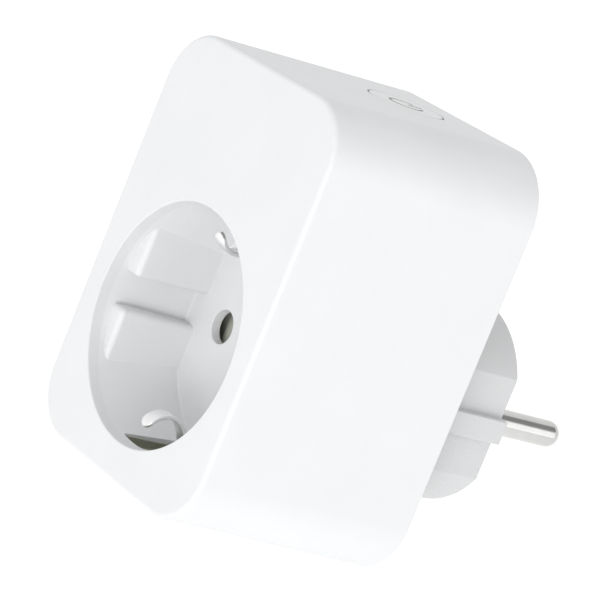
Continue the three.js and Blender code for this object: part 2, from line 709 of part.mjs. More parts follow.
// Everything above the drafted top face, to trim the cap flush with it.
function aboveTopFace() {
  const slope = Math.atan(BODY.draft / BODY.depth);
  const geometry = new THREE.BoxGeometry(TRIM_BLOCK.width, TRIM_BLOCK.length, TRIM_BLOCK.height);
  geometry.translate(0, 0, TRIM_BLOCK.height / 2);
  geometry.rotateX(slope);
  const rise = (BODY.draft * (BUTTON.y - Y_FRONT)) / BODY.depth;
  geometry.translate(0, BUTTON.y, Z_TOP + rise);
  return toSolid(geometry);
}

function buttonCap() {
  const drum = rodZ(BUTTON.radius, CAP.low, Z_TOP + CAP.trim, 0, BUTTON.y, SEGMENTS.medium);
  const flange = rodZ(BUTTON.flangeRadius, CAP.low, CAP.flangeTop, 0, BUTTON.y, SEGMENTS.medium);
  const inner = BUTTON.radius - BUTTON.wall;
  const hollow = rodZ(inner, CAP.low - OVERRUN, CAP.underTop, 0, BUTTON.y, SEGMENTS.medium);
  const stem = rodZ(CAP.stemRadius, CAP.stemLow, CAP.underTop + SINK, 0, BUTTON.y);
  return join(cut(join(drum, flange), hollow, aboveTopFace()), stem);
}

function lightGuide() {
  return rodZ(LIGHT_GUIDE.radius, LIGHT_GUIDE.low, LIGHT_GUIDE.high, LIGHT_GUIDE.x, BUTTON.y);
}

function tactSwitchBody() {
  const bore = rodZ(TACT_PLUNGER.bore, TACT_PLUNGER.boreLow, TACT_PLUNGER.high, 0, BUTTON.y);
  return box(...BOXES.tact_switch_body).subtract(bore);
}

function tactSwitchPlunger() {
  return rodZ(TACT_PLUNGER.radius, TACT_PLUNGER.low, TACT_PLUNGER.high, 0, BUTTON.y);
}

// ---------------------------------------------------------------- boards and power parts

function mainBoard() {
  const plate = box(-BOARD.halfWidth, BOARD.halfWidth, BOARD.front, BOARD.back, BOARD.low, BOARD.high);
  const through = [BOARD.front - OVERRUN, BOARD.back + OVERRUN];
  const notch = POST.radius + 1;
  const corners = postPlaces.map(([x, z]) => {
    const spanX = x < 0 ? [-BOARD.halfWidth - 1, x + notch] : [x - notch, BOARD.halfWidth + 1];
    const spanZ = z < 0 ? [BOARD.low - 1, z + notch] : [z - notch, BOARD.high + 1];
    return box(...spanX, ...through, ...spanZ);
  });
  const slotHalf = EARTH.stripHalf + CLEAR;
  const slotZ = EARTH.thickness / 2 + CLEAR;
  const earthSlots = [-1, 1].map((level) => (
    box(-slotHalf, slotHalf, ...through, level * EARTH.plugZ - slotZ, level * EARTH.plugZ + slotZ)
  ));
  const pinHoles = pinPlaces.map((x) => rodY(PIN.tailRadius + 2 * FIT, ...through, x, 0));
  const tailHoles = [-1, 1].map((side) => tailHole(side, ...through));
  const screwHoles = boardPostPlaces.map(([x, z]) => rodY(SCREW.pilotRadius, ...through, x, z));
  return cut(plate, ...corners, ...earthSlots, ...pinHoles, ...tailHoles, ...screwHoles);
}

// The slot that a receptacle contact's tail passes through.
function tailHole(side, y0, y1) {
  const centre = side * (PIN_X + CONTACT.halfWidth - CONTACT.web / 2);
  const halfX = CONTACT.web / 2 + FIT;
  const halfZ = TAIL.halfZ + FIT;
  return box(centre - halfX, centre + halfX, y0, y1, -halfZ, halfZ);
}

function busBar(x, z0, z1) {
  const back = BUS_BAR.front + BUS_BAR.thickness;
  const bar = box(x - BUS_BAR.halfWidth, x + BUS_BAR.halfWidth, BUS_BAR.front, back, z0, z1);
  return bar.subtract(rodY(BUS_BAR.holeRadius, BUS_BAR.front - OVERRUN, back + OVERRUN, x, 0));
}

function neutralBusBar() {
  const { front, thickness, reachHalf } = BUS_BAR;
  const reach = box(-PIN_X - BUS_BAR.reach, -PIN_X, front, front + thickness, -reachHalf, reachHalf);
  const bar = busBar(-PIN_X, BUS_BAR.low, BUS_BAR.neutralTop).add(reach);
  const pinHole = rodY(BUS_BAR.holeRadius, front - OVERRUN, Y_BACK, -PIN_X, 0);
  return cut(bar, pinHole, tailHole(-1, front - OVERRUN, Y_BACK));
}

function transformerCore() {
  const { x, z, halfWidth, halfHeight, limb, front, back } = TRANSFORMER;
  const innerX = halfWidth - limb;
  const innerZ = halfHeight - limb;
  const block = box(x - halfWidth, x + halfWidth, front, back, z - halfHeight, z + halfHeight);
  const through = [front - OVERRUN, back + OVERRUN];
  return block.subtract(box(x - innerX, x + innerX, ...through, z - innerZ, z + innerZ));
}

function transformerWinding() {
  const { x, z } = TRANSFORMER;
  const coil = rodY(WINDING.radius, WINDING.front, WINDING.base + OVERRUN, x, z, SEGMENTS.medium);
  const flangeBack = WINDING.front + WINDING.flange;
  const flange = rodY(WINDING.flangeRadius, WINDING.front, flangeBack, x, z, SEGMENTS.medium);
  const half = WINDING.baseHalf;
  const base = box(x - half, x + half, WINDING.base, BOARD.front - CLEAR, z - half, z + half);
  return join(coil, flange, base);
}

function varistor() {
  const { x, y, z, radius, halfThickness } = VARISTOR;
  return rodX(radius, x - halfThickness, x + halfThickness, y, z, SEGMENTS.medium);
}

function fuse() {
  const { x, y, z, halfLength, radius, capLength, capRadius } = FUSE;
  return join(
    rodX(radius, x - halfLength, x + halfLength, y, z),
    rodX(capRadius, x - halfLength, x - halfLength + capLength, y, z),
    rodX(capRadius, x + halfLength - capLength, x + halfLength, y, z));
}

function choke() {
  const { x, y, z, radius, halfLength, coreRadius, flange } = CHOKE;
  return join(
    rodX(coreRadius, x - halfLength, x + halfLength, y, z),
    rodX(radius, x - halfLength, x - halfLength + flange, y, z),
    rodX(radius, x + halfLength - flange, x + halfLength, y, z),
    rodX((radius + coreRadius) / 2, x - halfLength + flange / 2, x + halfLength - flange / 2, y, z));
}

// ---------------------------------------------------------------- screws

// A self-tapping screw along Y with a hexagon socket in its head; headBack is the head's outer face.
function screw(x, z, headBack, length) {
  const headFront = headBack - SCREW.headHeight;
  const head = rodY(SCREW.headRadius, headFront, headBack, x, z);
  const shank = rodY(SCREW.radius, headFront - length, headFront + SINK, x, z);
  const socketY = [headBack - SCREW.socketDepth, headBack + OVERRUN];
  const socket = rodY(SCREW.socketRadius, ...socketY, x, z, SCREW.socketSides);
  return cut(join(head, shank), socket);
}

// ---------------------------------------------------------------- assembly

const device = new THREE.Group();
device.name = 'plug_in_power_meter';

function place(name, solid, look) {
  const material = new THREE.MeshStandardMaterial(LOOKS[look]);
  const mesh = new THREE.Mesh(toGeometry(solid), material);
  mesh.name = name;
  device.add(mesh);
}

place('front_shell', frontShell(), 'shell_white');
place('socket_well', socketWell(), 'well_white');
place('back_cover', backCover(), 'plug_white');
place('plug_pin_neutral', plugPin(-PIN_X), 'nickel');
place('plug_pin_line', plugPin(PIN_X), 'nickel');
place('earth_strip_upper', earthStrip(1), 'spring_metal');
place('earth_strip_lower', earthStrip(-1), 'spring_metal');
place('earth_yoke', earthYoke(), 'spring_metal');
place('contact_carrier', contactCarrier(), 'carrier_grey');
place('receptacle_contact_neutral', receptacleContact(-1), 'brass');
place('receptacle_contact_line', receptacleContact(1), 'brass');
place('shutter_slide', shutterSlide(), 'carrier_grey');
place('shutter_spring', shutterSpring(), 'steel');
place('button_cap', buttonCap(), 'button_white');
place('button_light_guide', lightGuide(), 'guide_clear');
place('tact_switch_body', tactSwitchBody(), 'relay_black');
place('tact_switch_plunger', tactSwitchPlunger(), 'core_grey');
place('indicator_led', box(...BOXES.indicator_led), 'ceramic_white');
place('main_board', mainBoard(), 'board_green');
place('control_board', box(...CONTROL_BOARD), 'board_green');
place('board_header', box(...BOXES.board_header), 'relay_black');
place('radio_shield', box(...BOXES.radio_shield), 'steel');
place('relay', box(...BOXES.relay), 'relay_black');
place('film_capacitor', box(...BOXES.film_capacitor), 'film_yellow');
place('varistor', varistor(), 'varistor_blue');
place('transformer_core', transformerCore(), 'core_grey');
place('transformer_winding', transformerWinding(), 'copper');
for (const { name, x, z, radius, front } of CAPACITORS) {
  place(name, rodY(radius, front, BOARD.front - CLEAR, x, z, SEGMENTS.medium), 'sleeve_dark');
}
place('fuse', fuse(), 'ceramic_white');
place('choke', choke(), 'copper');
place('shunt_resistor', box(...BOXES.shunt_resistor), 'copper');
place('metering_chip', box(...BOXES.metering_chip), 'relay_black');
place('bus_bar_line', busBar(PIN_X, BUS_BAR.low, BUS_BAR.lineTop), 'copper');
place('bus_bar_neutral', neutralBusBar(), 'copper');
postPlaces.forEach(([x, z], k) => {
  place(`cover_screw_${k + 1}`, screw(x, z, COVER.screwHead, SCREW.coverLength), 'steel');
});
boardPostPlaces.forEach(([x, z], k) => {
  const headBack = BOARD.back + SCREW.headHeight + PIN_FIT;
  place(`board_screw_${k + 1}`, screw(x, z, headBack, SCREW.boardLength), 'steel');
});
carrierScrewPlaces.forEach(([x, z], k) => {
  const headBack = CARRIER.back + SCREW.headHeight + PIN_FIT;
  place(`carrier_screw_${k + 1}`, screw(x, z, headBack, SCREW.carrierLength), 'steel');
});

export default device;
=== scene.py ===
import json
import math

import bmesh
import bpy
from mathutils import Matrix, Vector


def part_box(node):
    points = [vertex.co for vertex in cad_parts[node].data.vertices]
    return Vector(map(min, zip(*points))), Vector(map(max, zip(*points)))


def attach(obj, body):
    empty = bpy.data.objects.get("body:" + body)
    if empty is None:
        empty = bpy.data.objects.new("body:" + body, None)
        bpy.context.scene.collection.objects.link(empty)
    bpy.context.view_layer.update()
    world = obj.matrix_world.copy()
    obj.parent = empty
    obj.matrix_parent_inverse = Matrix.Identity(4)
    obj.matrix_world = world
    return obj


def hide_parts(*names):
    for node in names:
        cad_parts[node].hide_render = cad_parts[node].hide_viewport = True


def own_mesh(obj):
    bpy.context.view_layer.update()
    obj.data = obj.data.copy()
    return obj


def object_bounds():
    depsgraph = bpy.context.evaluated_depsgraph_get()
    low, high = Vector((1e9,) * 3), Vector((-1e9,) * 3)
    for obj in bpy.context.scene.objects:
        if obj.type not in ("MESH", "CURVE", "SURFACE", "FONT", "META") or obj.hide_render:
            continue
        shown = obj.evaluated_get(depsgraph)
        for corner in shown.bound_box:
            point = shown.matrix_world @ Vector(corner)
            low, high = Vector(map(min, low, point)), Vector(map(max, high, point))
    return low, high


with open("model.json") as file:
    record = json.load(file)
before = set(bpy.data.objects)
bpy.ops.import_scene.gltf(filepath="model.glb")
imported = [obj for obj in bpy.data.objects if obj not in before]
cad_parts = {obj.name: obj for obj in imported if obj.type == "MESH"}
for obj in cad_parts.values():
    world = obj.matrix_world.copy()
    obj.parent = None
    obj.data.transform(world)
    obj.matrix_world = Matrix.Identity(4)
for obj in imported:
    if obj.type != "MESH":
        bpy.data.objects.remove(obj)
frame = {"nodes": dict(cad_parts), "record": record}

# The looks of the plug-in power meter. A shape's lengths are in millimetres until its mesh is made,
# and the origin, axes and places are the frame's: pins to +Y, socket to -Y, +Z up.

MM = 0.001
cad_low, cad_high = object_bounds()


# ---------------------------------------------------------------- places read from the frame

def corners(node):
    """A CAD node's lowest and highest corners, in millimetres."""
    low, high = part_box(node)
    return low / MM, high / MM


shell_low, shell_high = corners("front_shell")
well_low, well_high = corners("socket_well")
pin_low, pin_high = corners("plug_pin_line")
cap_low, cap_high = corners("button_cap")
slide_low, slide_high = corners("shutter_slide")
screw_low, screw_high = corners("cover_screw_1")
strip_low, strip_high = corners("earth_strip_upper")

FRONT = shell_low.y
BACK = shell_high.y
DEPTH = BACK - FRONT
PIN_X = (pin_low.x + pin_high.x) / 2
BUTTON_Y = (cap_low.y + cap_high.y) / 2
COVER_SCREWS = [[sum(side) / 2 for side in zip(*corners(f"cover_screw_{k}"))] for k in (1, 2, 3, 4)]
BOARD_SCREWS = [[sum(side) / 2 for side in zip(*corners(f"board_screw_{k}"))] for k in (1, 2)]

# How far a cutter passes the face it opens, or a joined piece sinks into its neighbour, and the
# radius of the small flat that a turned piece keeps on its axis.
OVERRUN = 1.0
AXIS = 0.01

# The body, drafted from its back to its front, and what stands inside it.
DRAFT = 1.2
BACK_RADIUS = 11.2
EDGE = 0.85
BACK_EDGE = 0.3
FRONT_WALL = 2.2
SIDE_WALL = 2.0
SEAT_GAP = 0.2
COVER_POST_RADIUS = 3.0
COVER_POST_END = 4.2
BOARD_POST_RADIUS = 2.4
BOARD_POST_END = 4.8
PILOT_RADIUS = 1.35
PILOT_DEPTH = 20.0

# The socket well. SLOT_FRONT, SLOT_BACK and PAD_DEPTH are depths behind the front. SLIT_START and
# SLIT_STOP are the slit's gaps from the pads' front and from the floor.
MOUTH_RADIUS = 21.0
LIP = 0.3
FLOOR_RADIUS = 20.0
WELL_DEPTH = 18.5
WELL_WALL = 1.4
WELL_RIM = 0.4
WELL_FLANGE = 1.2
WELL_SEAM = 0.01
FLOOR_THICKNESS = 1.85
FLOOR_FILLET = 0.3
HOLE_RADIUS = 3.0
HOLE_EDGE = 0.25
PAD_FACE = 16.8
PAD_GROOVE = 3.0
PAD_TOP = 12.0
PAD_DEPTH = 3.3
PAD_EDGE = 1.0
PAD_REACH = 3.0
PAD_SINK = 0.7
SLOT_HALF = 3.6
SLOT_FRONT = 3.3
SLOT_BACK = 16.0
SLOT_INWARD = 4.0
SLOT_EDGE = 0.5
SLIT_LOW = -3.0
SLIT_HIGH = -2.5
SLIT_DEPTH = 0.22
SLIT_START = 0.5
SLIT_STOP = 0.3

# The back cover, its screw seats and the plug boss. Fronts, backs, roots and depths are measured
# from the body's back, but WINDOW_BACK and the pillars' two ends are places along Y, BOSS_END is the
# thickness left behind the plug face, and BOSS_RIB_ROOT is how far a rib starts inside its flat.
COVER_LIP = 1.4
COVER_THICKNESS = 2.2
COVER_GAP = 0.15
COVER_EDGE = 0.3
SCREW_PAD_RADIUS = 3.8
SCREW_PAD_FRONT = 4.0
SCREW_PAD_INSET = 2.3
SCREW_PAD_LIMIT = 5.0
SCREW_RECESS_RADIUS = 2.8
SCREW_RECESS_DEPTH = 2.5
SCREW_RECESS_EDGE = 0.25
RELIEF_RADIUS = 2.8
RELIEF_FRONT = 3.2
RELIEF_BACK = 1.4
BOSS_RADIUS = 18.5
BOSS_FLAT = 15.9
BOSS_ROOT = 1.7
BOSS_RIB = 17.8
BOSS_RIB_HALF = 2.15
BOSS_RIB_ROOT = 2.0
BOSS_RIB_EDGE = 0.3
BOSS_WALL = 2.5
BOSS_END = 2.2
BOSS_EDGE = 0.5
BOSS_CAVITY_FRONT = 3.2
PILLAR_RADIUS = 4.3
PILLAR_FRONT = -14.0
PILLAR_BACK = -1.0
WINDOW_HALF = 3.5
WINDOW_INNER = 14.5
WINDOW_FRONT = 4.5
WINDOW_BACK = -1.6
WINDOW_EDGE = 0.4
CHANNEL_OUTER = 17.3
CHANNEL_FRONT = 5.0

# The plug pins. PIN_TIP_STOP, in degrees, ends the round tip just short of its axis.
PIN_RADIUS = 2.4
PIN_LENGTH = 19.0
PIN_TIP_STOP = 89.5
PIN_FIT = 0.05
PIN_HOLE_EDGE = 0.2
PIN_TAIL_RADIUS = 1.6
PIN_TAIL_END = 1.4
PIN_TAIL_CHAMFER = 0.2
PIN_FLANGE_RADIUS = 3.2
PIN_FLANGE_THICKNESS = 1.4
PIN_FLANGE_BACK = -14.1

# The earth strips, with a flange folded at each side. STRIP_ROUND is a share of the thickness, and
# STRIP_END_LEAST the least half width of a round end, in edge radii.
STRIP_THICKNESS = 0.7
STRIP_HALF = 3.2
STRIP_PLUG_Z = 16.5
STRIP_ROUND = 0.3
STRIP_END_LEAST = 1.2
NOSE_HALF = 1.5
FLANGE_INNER = 2.8
FLANGE_OUTER = 3.15
FLANGE_Z = 20.65
FLANGE_BACK = -48.5
FLANGE_START = 0.2
FLANGE_EDGE = 0.08

# The cover screws.
SCREW_HEAD_RADIUS = 2.4
SCREW_HEAD_HEIGHT = 1.5
SCREW_HEAD_ROUND = 0.65
SCREW_SHANK_RADIUS = 1.25
SCREW_TIP_RADIUS = 0.5
SCREW_TIP_LENGTH = 1.6
LOBES = 6
LOBE_RADIUS = 1.05
LOBE_SWELL = 0.16
LOBE_DEPTH = 0.9
LOBE_CUT_RISE = 0.5
LOBE_POINTS = 72

# The push button. Its cap's flange is measured up from the cap's underside.
BUTTON_HOLE = 6.95
BUTTON_RADIUS = 6.6
BUTTON_EDGE = 0.1
BUTTON_CUT_DEPTH = 5.0
BUTTON_CUT_RISE = 2.0
CAP_THICKNESS = 1.6
CAP_WALL = 1.4
CAP_FLANGE = 0.9
CAP_FLANGE_LOW = 0.1
CAP_FLANGE_HIGH = 0.8
CAP_FLANGE_ROOT = 0.95
SYMBOL_RADIUS = 2.9
SYMBOL_STROKE = 0.5
SYMBOL_PROUD = 0.02
SYMBOL_SINK = 0.05
SYMBOL_GAP = 32
SYMBOL_BAR_ABOVE = 0.3
SYMBOL_BAR_BELOW = 2.2

# The shutter slide, whose ramps are cut into the face that the pins meet.
SLIDE_EDGE = 0.35
SLIDE_WINDOW_HALF = 3.2
SLIDE_WINDOW_EDGE = 0.3
RAMP_START = 2.6
RAMP_BEND = 0.4
RAMP_BEND_DEPTH = 0.45
RAMP_DEPTH = 1.7
RAMP_HALF = 3.05

# The shutter's spring.
SPRING_WIRE = 0.2
SPRING_TURNS = 7
SPRING_STEPS = 20
SPRING_SIDES = 8

# How finely round shapes are divided.
FINE = 128
MEDIUM = 64
PIN_SIDES = 96
PIN_TIP_STEPS = 16
CORNER_STEPS = 20
BOSS_STEPS = 48
EDGE_STEPS = 12
STRIP_STEPS = 8
ARC = 10

# The steepest fold, in degrees, that is still shaded smooth.
FOLD_BODY = 30
FOLD_SMALL = 35
FOLD_METAL = 40
FOLD_SPRING = 50


# ---------------------------------------------------------------- solids

SAME_POINT = 1e-7
NORMAL_WEIGHT = 80


def new_object(name, vertices, faces):
    """A mesh object from points in millimetres, with its faces turned outwards."""
    mesh = bpy.data.meshes.new(name)
    mesh.from_pydata([Vector(v) * MM for v in vertices], [], faces)
    work = bmesh.new()
    work.from_mesh(mesh)
    bmesh.ops.remove_doubles(work, verts=work.verts, dist=SAME_POINT)
    bmesh.ops.recalc_face_normals(work, faces=work.faces)
    work.to_mesh(mesh)
    work.free()
    obj = bpy.data.objects.new(name, mesh)
    bpy.context.scene.collection.objects.link(obj)
    return obj


def loft(name, rings):
    """A closed solid through rings that all have the same number of points."""
    count = len(rings[0])
    vertices = [point for ring in rings for point in ring]
    faces = []
    for first in range(0, (len(rings) - 1) * count, count):
        for k in range(count):
            following = (k + 1) % count
            faces.append((first + k, first + following, first + count + following, first + count + k))
    faces.append(tuple(range(count)))
    faces.append(tuple(range(len(vertices) - count, len(vertices))))
    return new_object(name, vertices, faces)


def turned(name, profile, sides=FINE, centre=(0.0, 0.0)):
    """A solid of revolution about a line along Y, from (radius, y) pairs. The ends close flat."""
    rings = []
    for radius, y in profile:
        ring = []
        for k in range(sides):
            angle = 2 * math.pi * k / sides
            ring.append((centre[0] + radius * math.cos(angle), y, centre[1] + radius * math.sin(angle)))
        rings.append(ring)
    return loft(name, rings)


def rod(name, radius, y0, y1, centre):
    return turned(name, [(radius, y0), (radius, y1)], MEDIUM, centre)


def box(name, low, high, edge=0.0, segments=4):
    """A box, with all its edges rounded when edge is given."""
    x0, y0, z0 = low
    x1, y1, z1 = high
    rings = [[(x0, y, z0), (x1, y, z0), (x1, y, z1), (x0, y, z1)] for y in (y0, y1)]
    obj = loft(name, rings)
    if edge:
        work = bmesh.new()
        work.from_mesh(obj.data)
        bmesh.ops.bevel(
            work, geom=work.edges[:], offset=edge * MM, segments=segments, profile=0.5, affect="EDGES")
        work.to_mesh(obj.data)
        work.free()
    return obj


def arc(centre, radius, start, stop, steps=ARC):
    """Points on a circle in a plane, from one angle in degrees to another."""
    points = []
    for k in range(steps + 1):
        angle = math.radians(start + (stop - start) * k / steps)
        points.append((centre[0] + radius * math.cos(angle), centre[1] + radius * math.sin(angle)))
    return points


def combine(obj, tool, operation):
    """Joins, cuts or intersects obj with tool, and removes tool."""
    step = obj.modifiers.new(operation.lower(), "BOOLEAN")
    step.operation = operation
    step.solver = "MANIFOLD"
    step.object = tool
    graph = bpy.context.evaluated_depsgraph_get()
    result = bpy.data.meshes.new_from_object(obj.evaluated_get(graph))
    obj.modifiers.clear()
    old = obj.data
    obj.data = result
    bpy.data.meshes.remove(old)
    bpy.data.objects.remove(tool)
    return obj


def join(obj, *tools):
    for tool in tools:
        combine(obj, tool, "UNION")
    return obj


def cut(obj, *tools):
    for tool in tools:
        combine(obj, tool, "DIFFERENCE")
    return obj


def keep(obj, tool):
    return combine(obj, tool, "INTERSECT")


def smooth(obj, angle=FOLD_SMALL):
    """Shades curved faces smooth and flat faces flat, with a sharp edge where the fold is steeper."""
    for polygon in obj.data.polygons:
        polygon.use_smooth = True
    obj.data.set_sharp_from_angle(angle=math.radians(angle))
    step = obj.modifiers.new("normals", "WEIGHTED_NORMAL")
    step.keep_sharp = True
    step.weight = NORMAL_WEIGHT
    return obj


# ---------------------------------------------------------------- materials

# Noise scales are in cells per metre, and a noise mostly lies between NOISE_LOW and NOISE_HIGH.
NOISE_DETAIL = 3.0
NOISE_LOW = 0.3
NOISE_HIGH = 0.7
PLASTIC_MOTTLE_SCALE = 90.0
PLASTIC_ROUGHNESS_SPREAD = 0.05
PLASTIC_IOR = 1.46
METAL_GRAIN = 1800.0
METAL_STAIN_SCALE = 220.0
METAL_ROUGHNESS_SPREAD = 0.06
METAL_RELIEF = 0.002
METAL_STAIN = 0.06
TRACK_SCALE = 260.0
TRACK_HALF = 0.05
TRACK_RELIEF = 0.03
BOARD_GRAIN = 1500.0
BOARD_ROUGHNESS = (0.3, 0.45)
COIL_GRAIN = 1400.0
COIL_RELIEF = 0.06
COIL_ROUGHNESS = (0.25, 0.4)
COIL_DISTORTION = 0.4
COIL_DARK = 0.45
COIL_LIGHT = 1.15
CLEAR_GRAIN = 1200.0
CLEAR_TINT_SCALE = 300.0
CLEAR_RELIEF = 0.003
CLEAR_ROUGHNESS = (0.08, 0.2)
CLEAR_DARK = 0.95
CLEAR_TRANSMISSION = 0.6
CLEAR_IOR = 1.49


def node(tree, kind, **values):
    made = tree.nodes.new(kind)
    for name, value in values.items():
        if name in made.inputs:
            made.inputs[name].default_value = value
        else:
            setattr(made, name, value)
    return made


def start_material(name):
    material = bpy.data.materials.new(name)
    material.use_nodes = True
    tree = material.node_tree
    shader = tree.nodes["Principled BSDF"]
    place = node(tree, "ShaderNodeTexCoord")
    return material, tree, shader, place.outputs["Object"]


def noise(tree, place, scale):
    made = node(tree, "ShaderNodeTexNoise", Scale=scale, Detail=NOISE_DETAIL)
    tree.links.new(place, made.inputs["Vector"])
    return made.outputs["Fac"]


def between(tree, factor, low, high):
    """A value that runs from low to high as factor runs over a noise's usual span."""
    made = node(tree, "ShaderNodeMapRange")
    made.inputs["From Min"].default_value = NOISE_LOW
    made.inputs["From Max"].default_value = NOISE_HIGH
    made.inputs["To Min"].default_value = low
    made.inputs["To Max"].default_value = high
    tree.links.new(factor, made.inputs["Value"])
    return made.outputs["Result"]


def blend_colours(tree, factor, first, second):
    made = node(tree, "ShaderNodeMix", data_type="RGBA")
    colour_inputs = [socket for socket in made.inputs if socket.type == "RGBA"]
    colour_inputs[0].default_value = (*first, 1)
    colour_inputs[1].default_value = (*second, 1)
    tree.links.new(factor, made.inputs["Factor"])
    return [socket for socket in made.outputs if socket.type == "RGBA"][0]


def add_bump(tree, shader, height, depth):
    """Relief of the given depth in millimetres."""
    made = node(tree, "ShaderNodeBump", Strength=1.0, Distance=depth * MM)
    tree.links.new(height, made.inputs["Height"])
    tree.links.new(made.outputs["Normal"], shader.inputs["Normal"])


def shade(colour, factor):
    return tuple(min(1.0, channel * factor) for channel in colour)


def plastic(name, colour, roughness=0.42, grain=2600.0, relief=0.012, mottle=0.012):
    """Moulded plastic with a fine spark-eroded grain and faint flow marks."""
    material, tree, shader, place = start_material(name)
    fine = noise(tree, place, grain)
    broad = noise(tree, place, PLASTIC_MOTTLE_SCALE)
    spread = between(tree, broad, 0.0, 1.0)
    tint = blend_colours(tree, spread, shade(colour, 1 - mottle), shade(colour, 1 + mottle))
    tree.links.new(tint, shader.inputs["Base Color"])
    low, high = roughness - PLASTIC_ROUGHNESS_SPREAD, roughness + PLASTIC_ROUGHNESS_SPREAD
    tree.links.new(between(tree, fine, low, high), shader.inputs["Roughness"])
    shader.inputs["IOR"].default_value = PLASTIC_IOR
    add_bump(tree, shader, fine, relief)
    return material


def metal(name, colour, roughness, streak=(1.0, 1.0, 1.0)):
    """Plated or stamped metal, with rolling marks where streak stretches the noise."""
    material, tree, shader, place = start_material(name)
    stretch = node(tree, "ShaderNodeMapping")
    stretch.inputs["Scale"].default_value = streak
    tree.links.new(place, stretch.inputs["Vector"])
    fine = noise(tree, stretch.outputs["Vector"], METAL_GRAIN)
    broad = noise(tree, place, METAL_STAIN_SCALE)
    spread = between(tree, broad, 0.0, 1.0)
    tint = blend_colours(tree, spread, shade(colour, 1 - METAL_STAIN), shade(colour, 1 + METAL_STAIN))
    tree.links.new(tint, shader.inputs["Base Color"])
    low, high = roughness - METAL_ROUGHNESS_SPREAD, roughness + METAL_ROUGHNESS_SPREAD
    tree.links.new(between(tree, fine, low, high), shader.inputs["Roughness"])
    shader.inputs["Metallic"].default_value = 1.0
    add_bump(tree, shader, fine, METAL_RELIEF)
    return material


def circuit_board(name, colour, line):
    """Solder mask over a lattice of copper tracks."""
    material, tree, shader, place = start_material(name)
    cells = node(tree, "ShaderNodeTexVoronoi", feature="DISTANCE_TO_EDGE", Scale=TRACK_SCALE)
    tree.links.new(place, cells.inputs["Vector"])
    track = node(tree, "ShaderNodeMath", operation="LESS_THAN")
    track.inputs[1].default_value = TRACK_HALF
    tree.links.new(cells.outputs["Distance"], track.inputs[0])
    tree.links.new(blend_colours(tree, track.outputs["Value"], colour, line), shader.inputs["Base Color"])
    fine = noise(tree, place, BOARD_GRAIN)
    tree.links.new(between(tree, fine, *BOARD_ROUGHNESS), shader.inputs["Roughness"])
    add_bump(tree, shader, track.outputs["Value"], TRACK_RELIEF)
    return material


def coil(name, colour, pitch):
    """Enamelled wire laid side by side."""
    material, tree, shader, place = start_material(name)
    turns = node(tree, "ShaderNodeTexWave", Scale=pitch, Distortion=COIL_DISTORTION, Detail=1.0)
    tree.links.new(place, turns.inputs["Vector"])
    dark, light = shade(colour, COIL_DARK), shade(colour, COIL_LIGHT)
    tint = blend_colours(tree, turns.outputs["Fac"], dark, light)
    tree.links.new(tint, shader.inputs["Base Color"])
    fine = noise(tree, place, COIL_GRAIN)
    tree.links.new(between(tree, fine, *COIL_ROUGHNESS), shader.inputs["Roughness"])
    shader.inputs["Metallic"].default_value = 1.0
    add_bump(tree, shader, turns.outputs["Fac"], COIL_RELIEF)
    return material


def clear(name, colour):
    material, tree, shader, place = start_material(name)
    fine = noise(tree, place, CLEAR_GRAIN)
    tree.links.new(between(tree, fine, *CLEAR_ROUGHNESS), shader.inputs["Roughness"])
    broad = noise(tree, place, CLEAR_TINT_SCALE)
    spread = between(tree, broad, 0.0, 1.0)
    tint = blend_colours(tree, spread, shade(colour, CLEAR_DARK), colour)
    tree.links.new(tint, shader.inputs["Base Color"])
    shader.inputs["Transmission Weight"].default_value = CLEAR_TRANSMISSION
    shader.inputs["IOR"].default_value = CLEAR_IOR
    add_bump(tree, shader, fine, CLEAR_RELIEF)
    return material


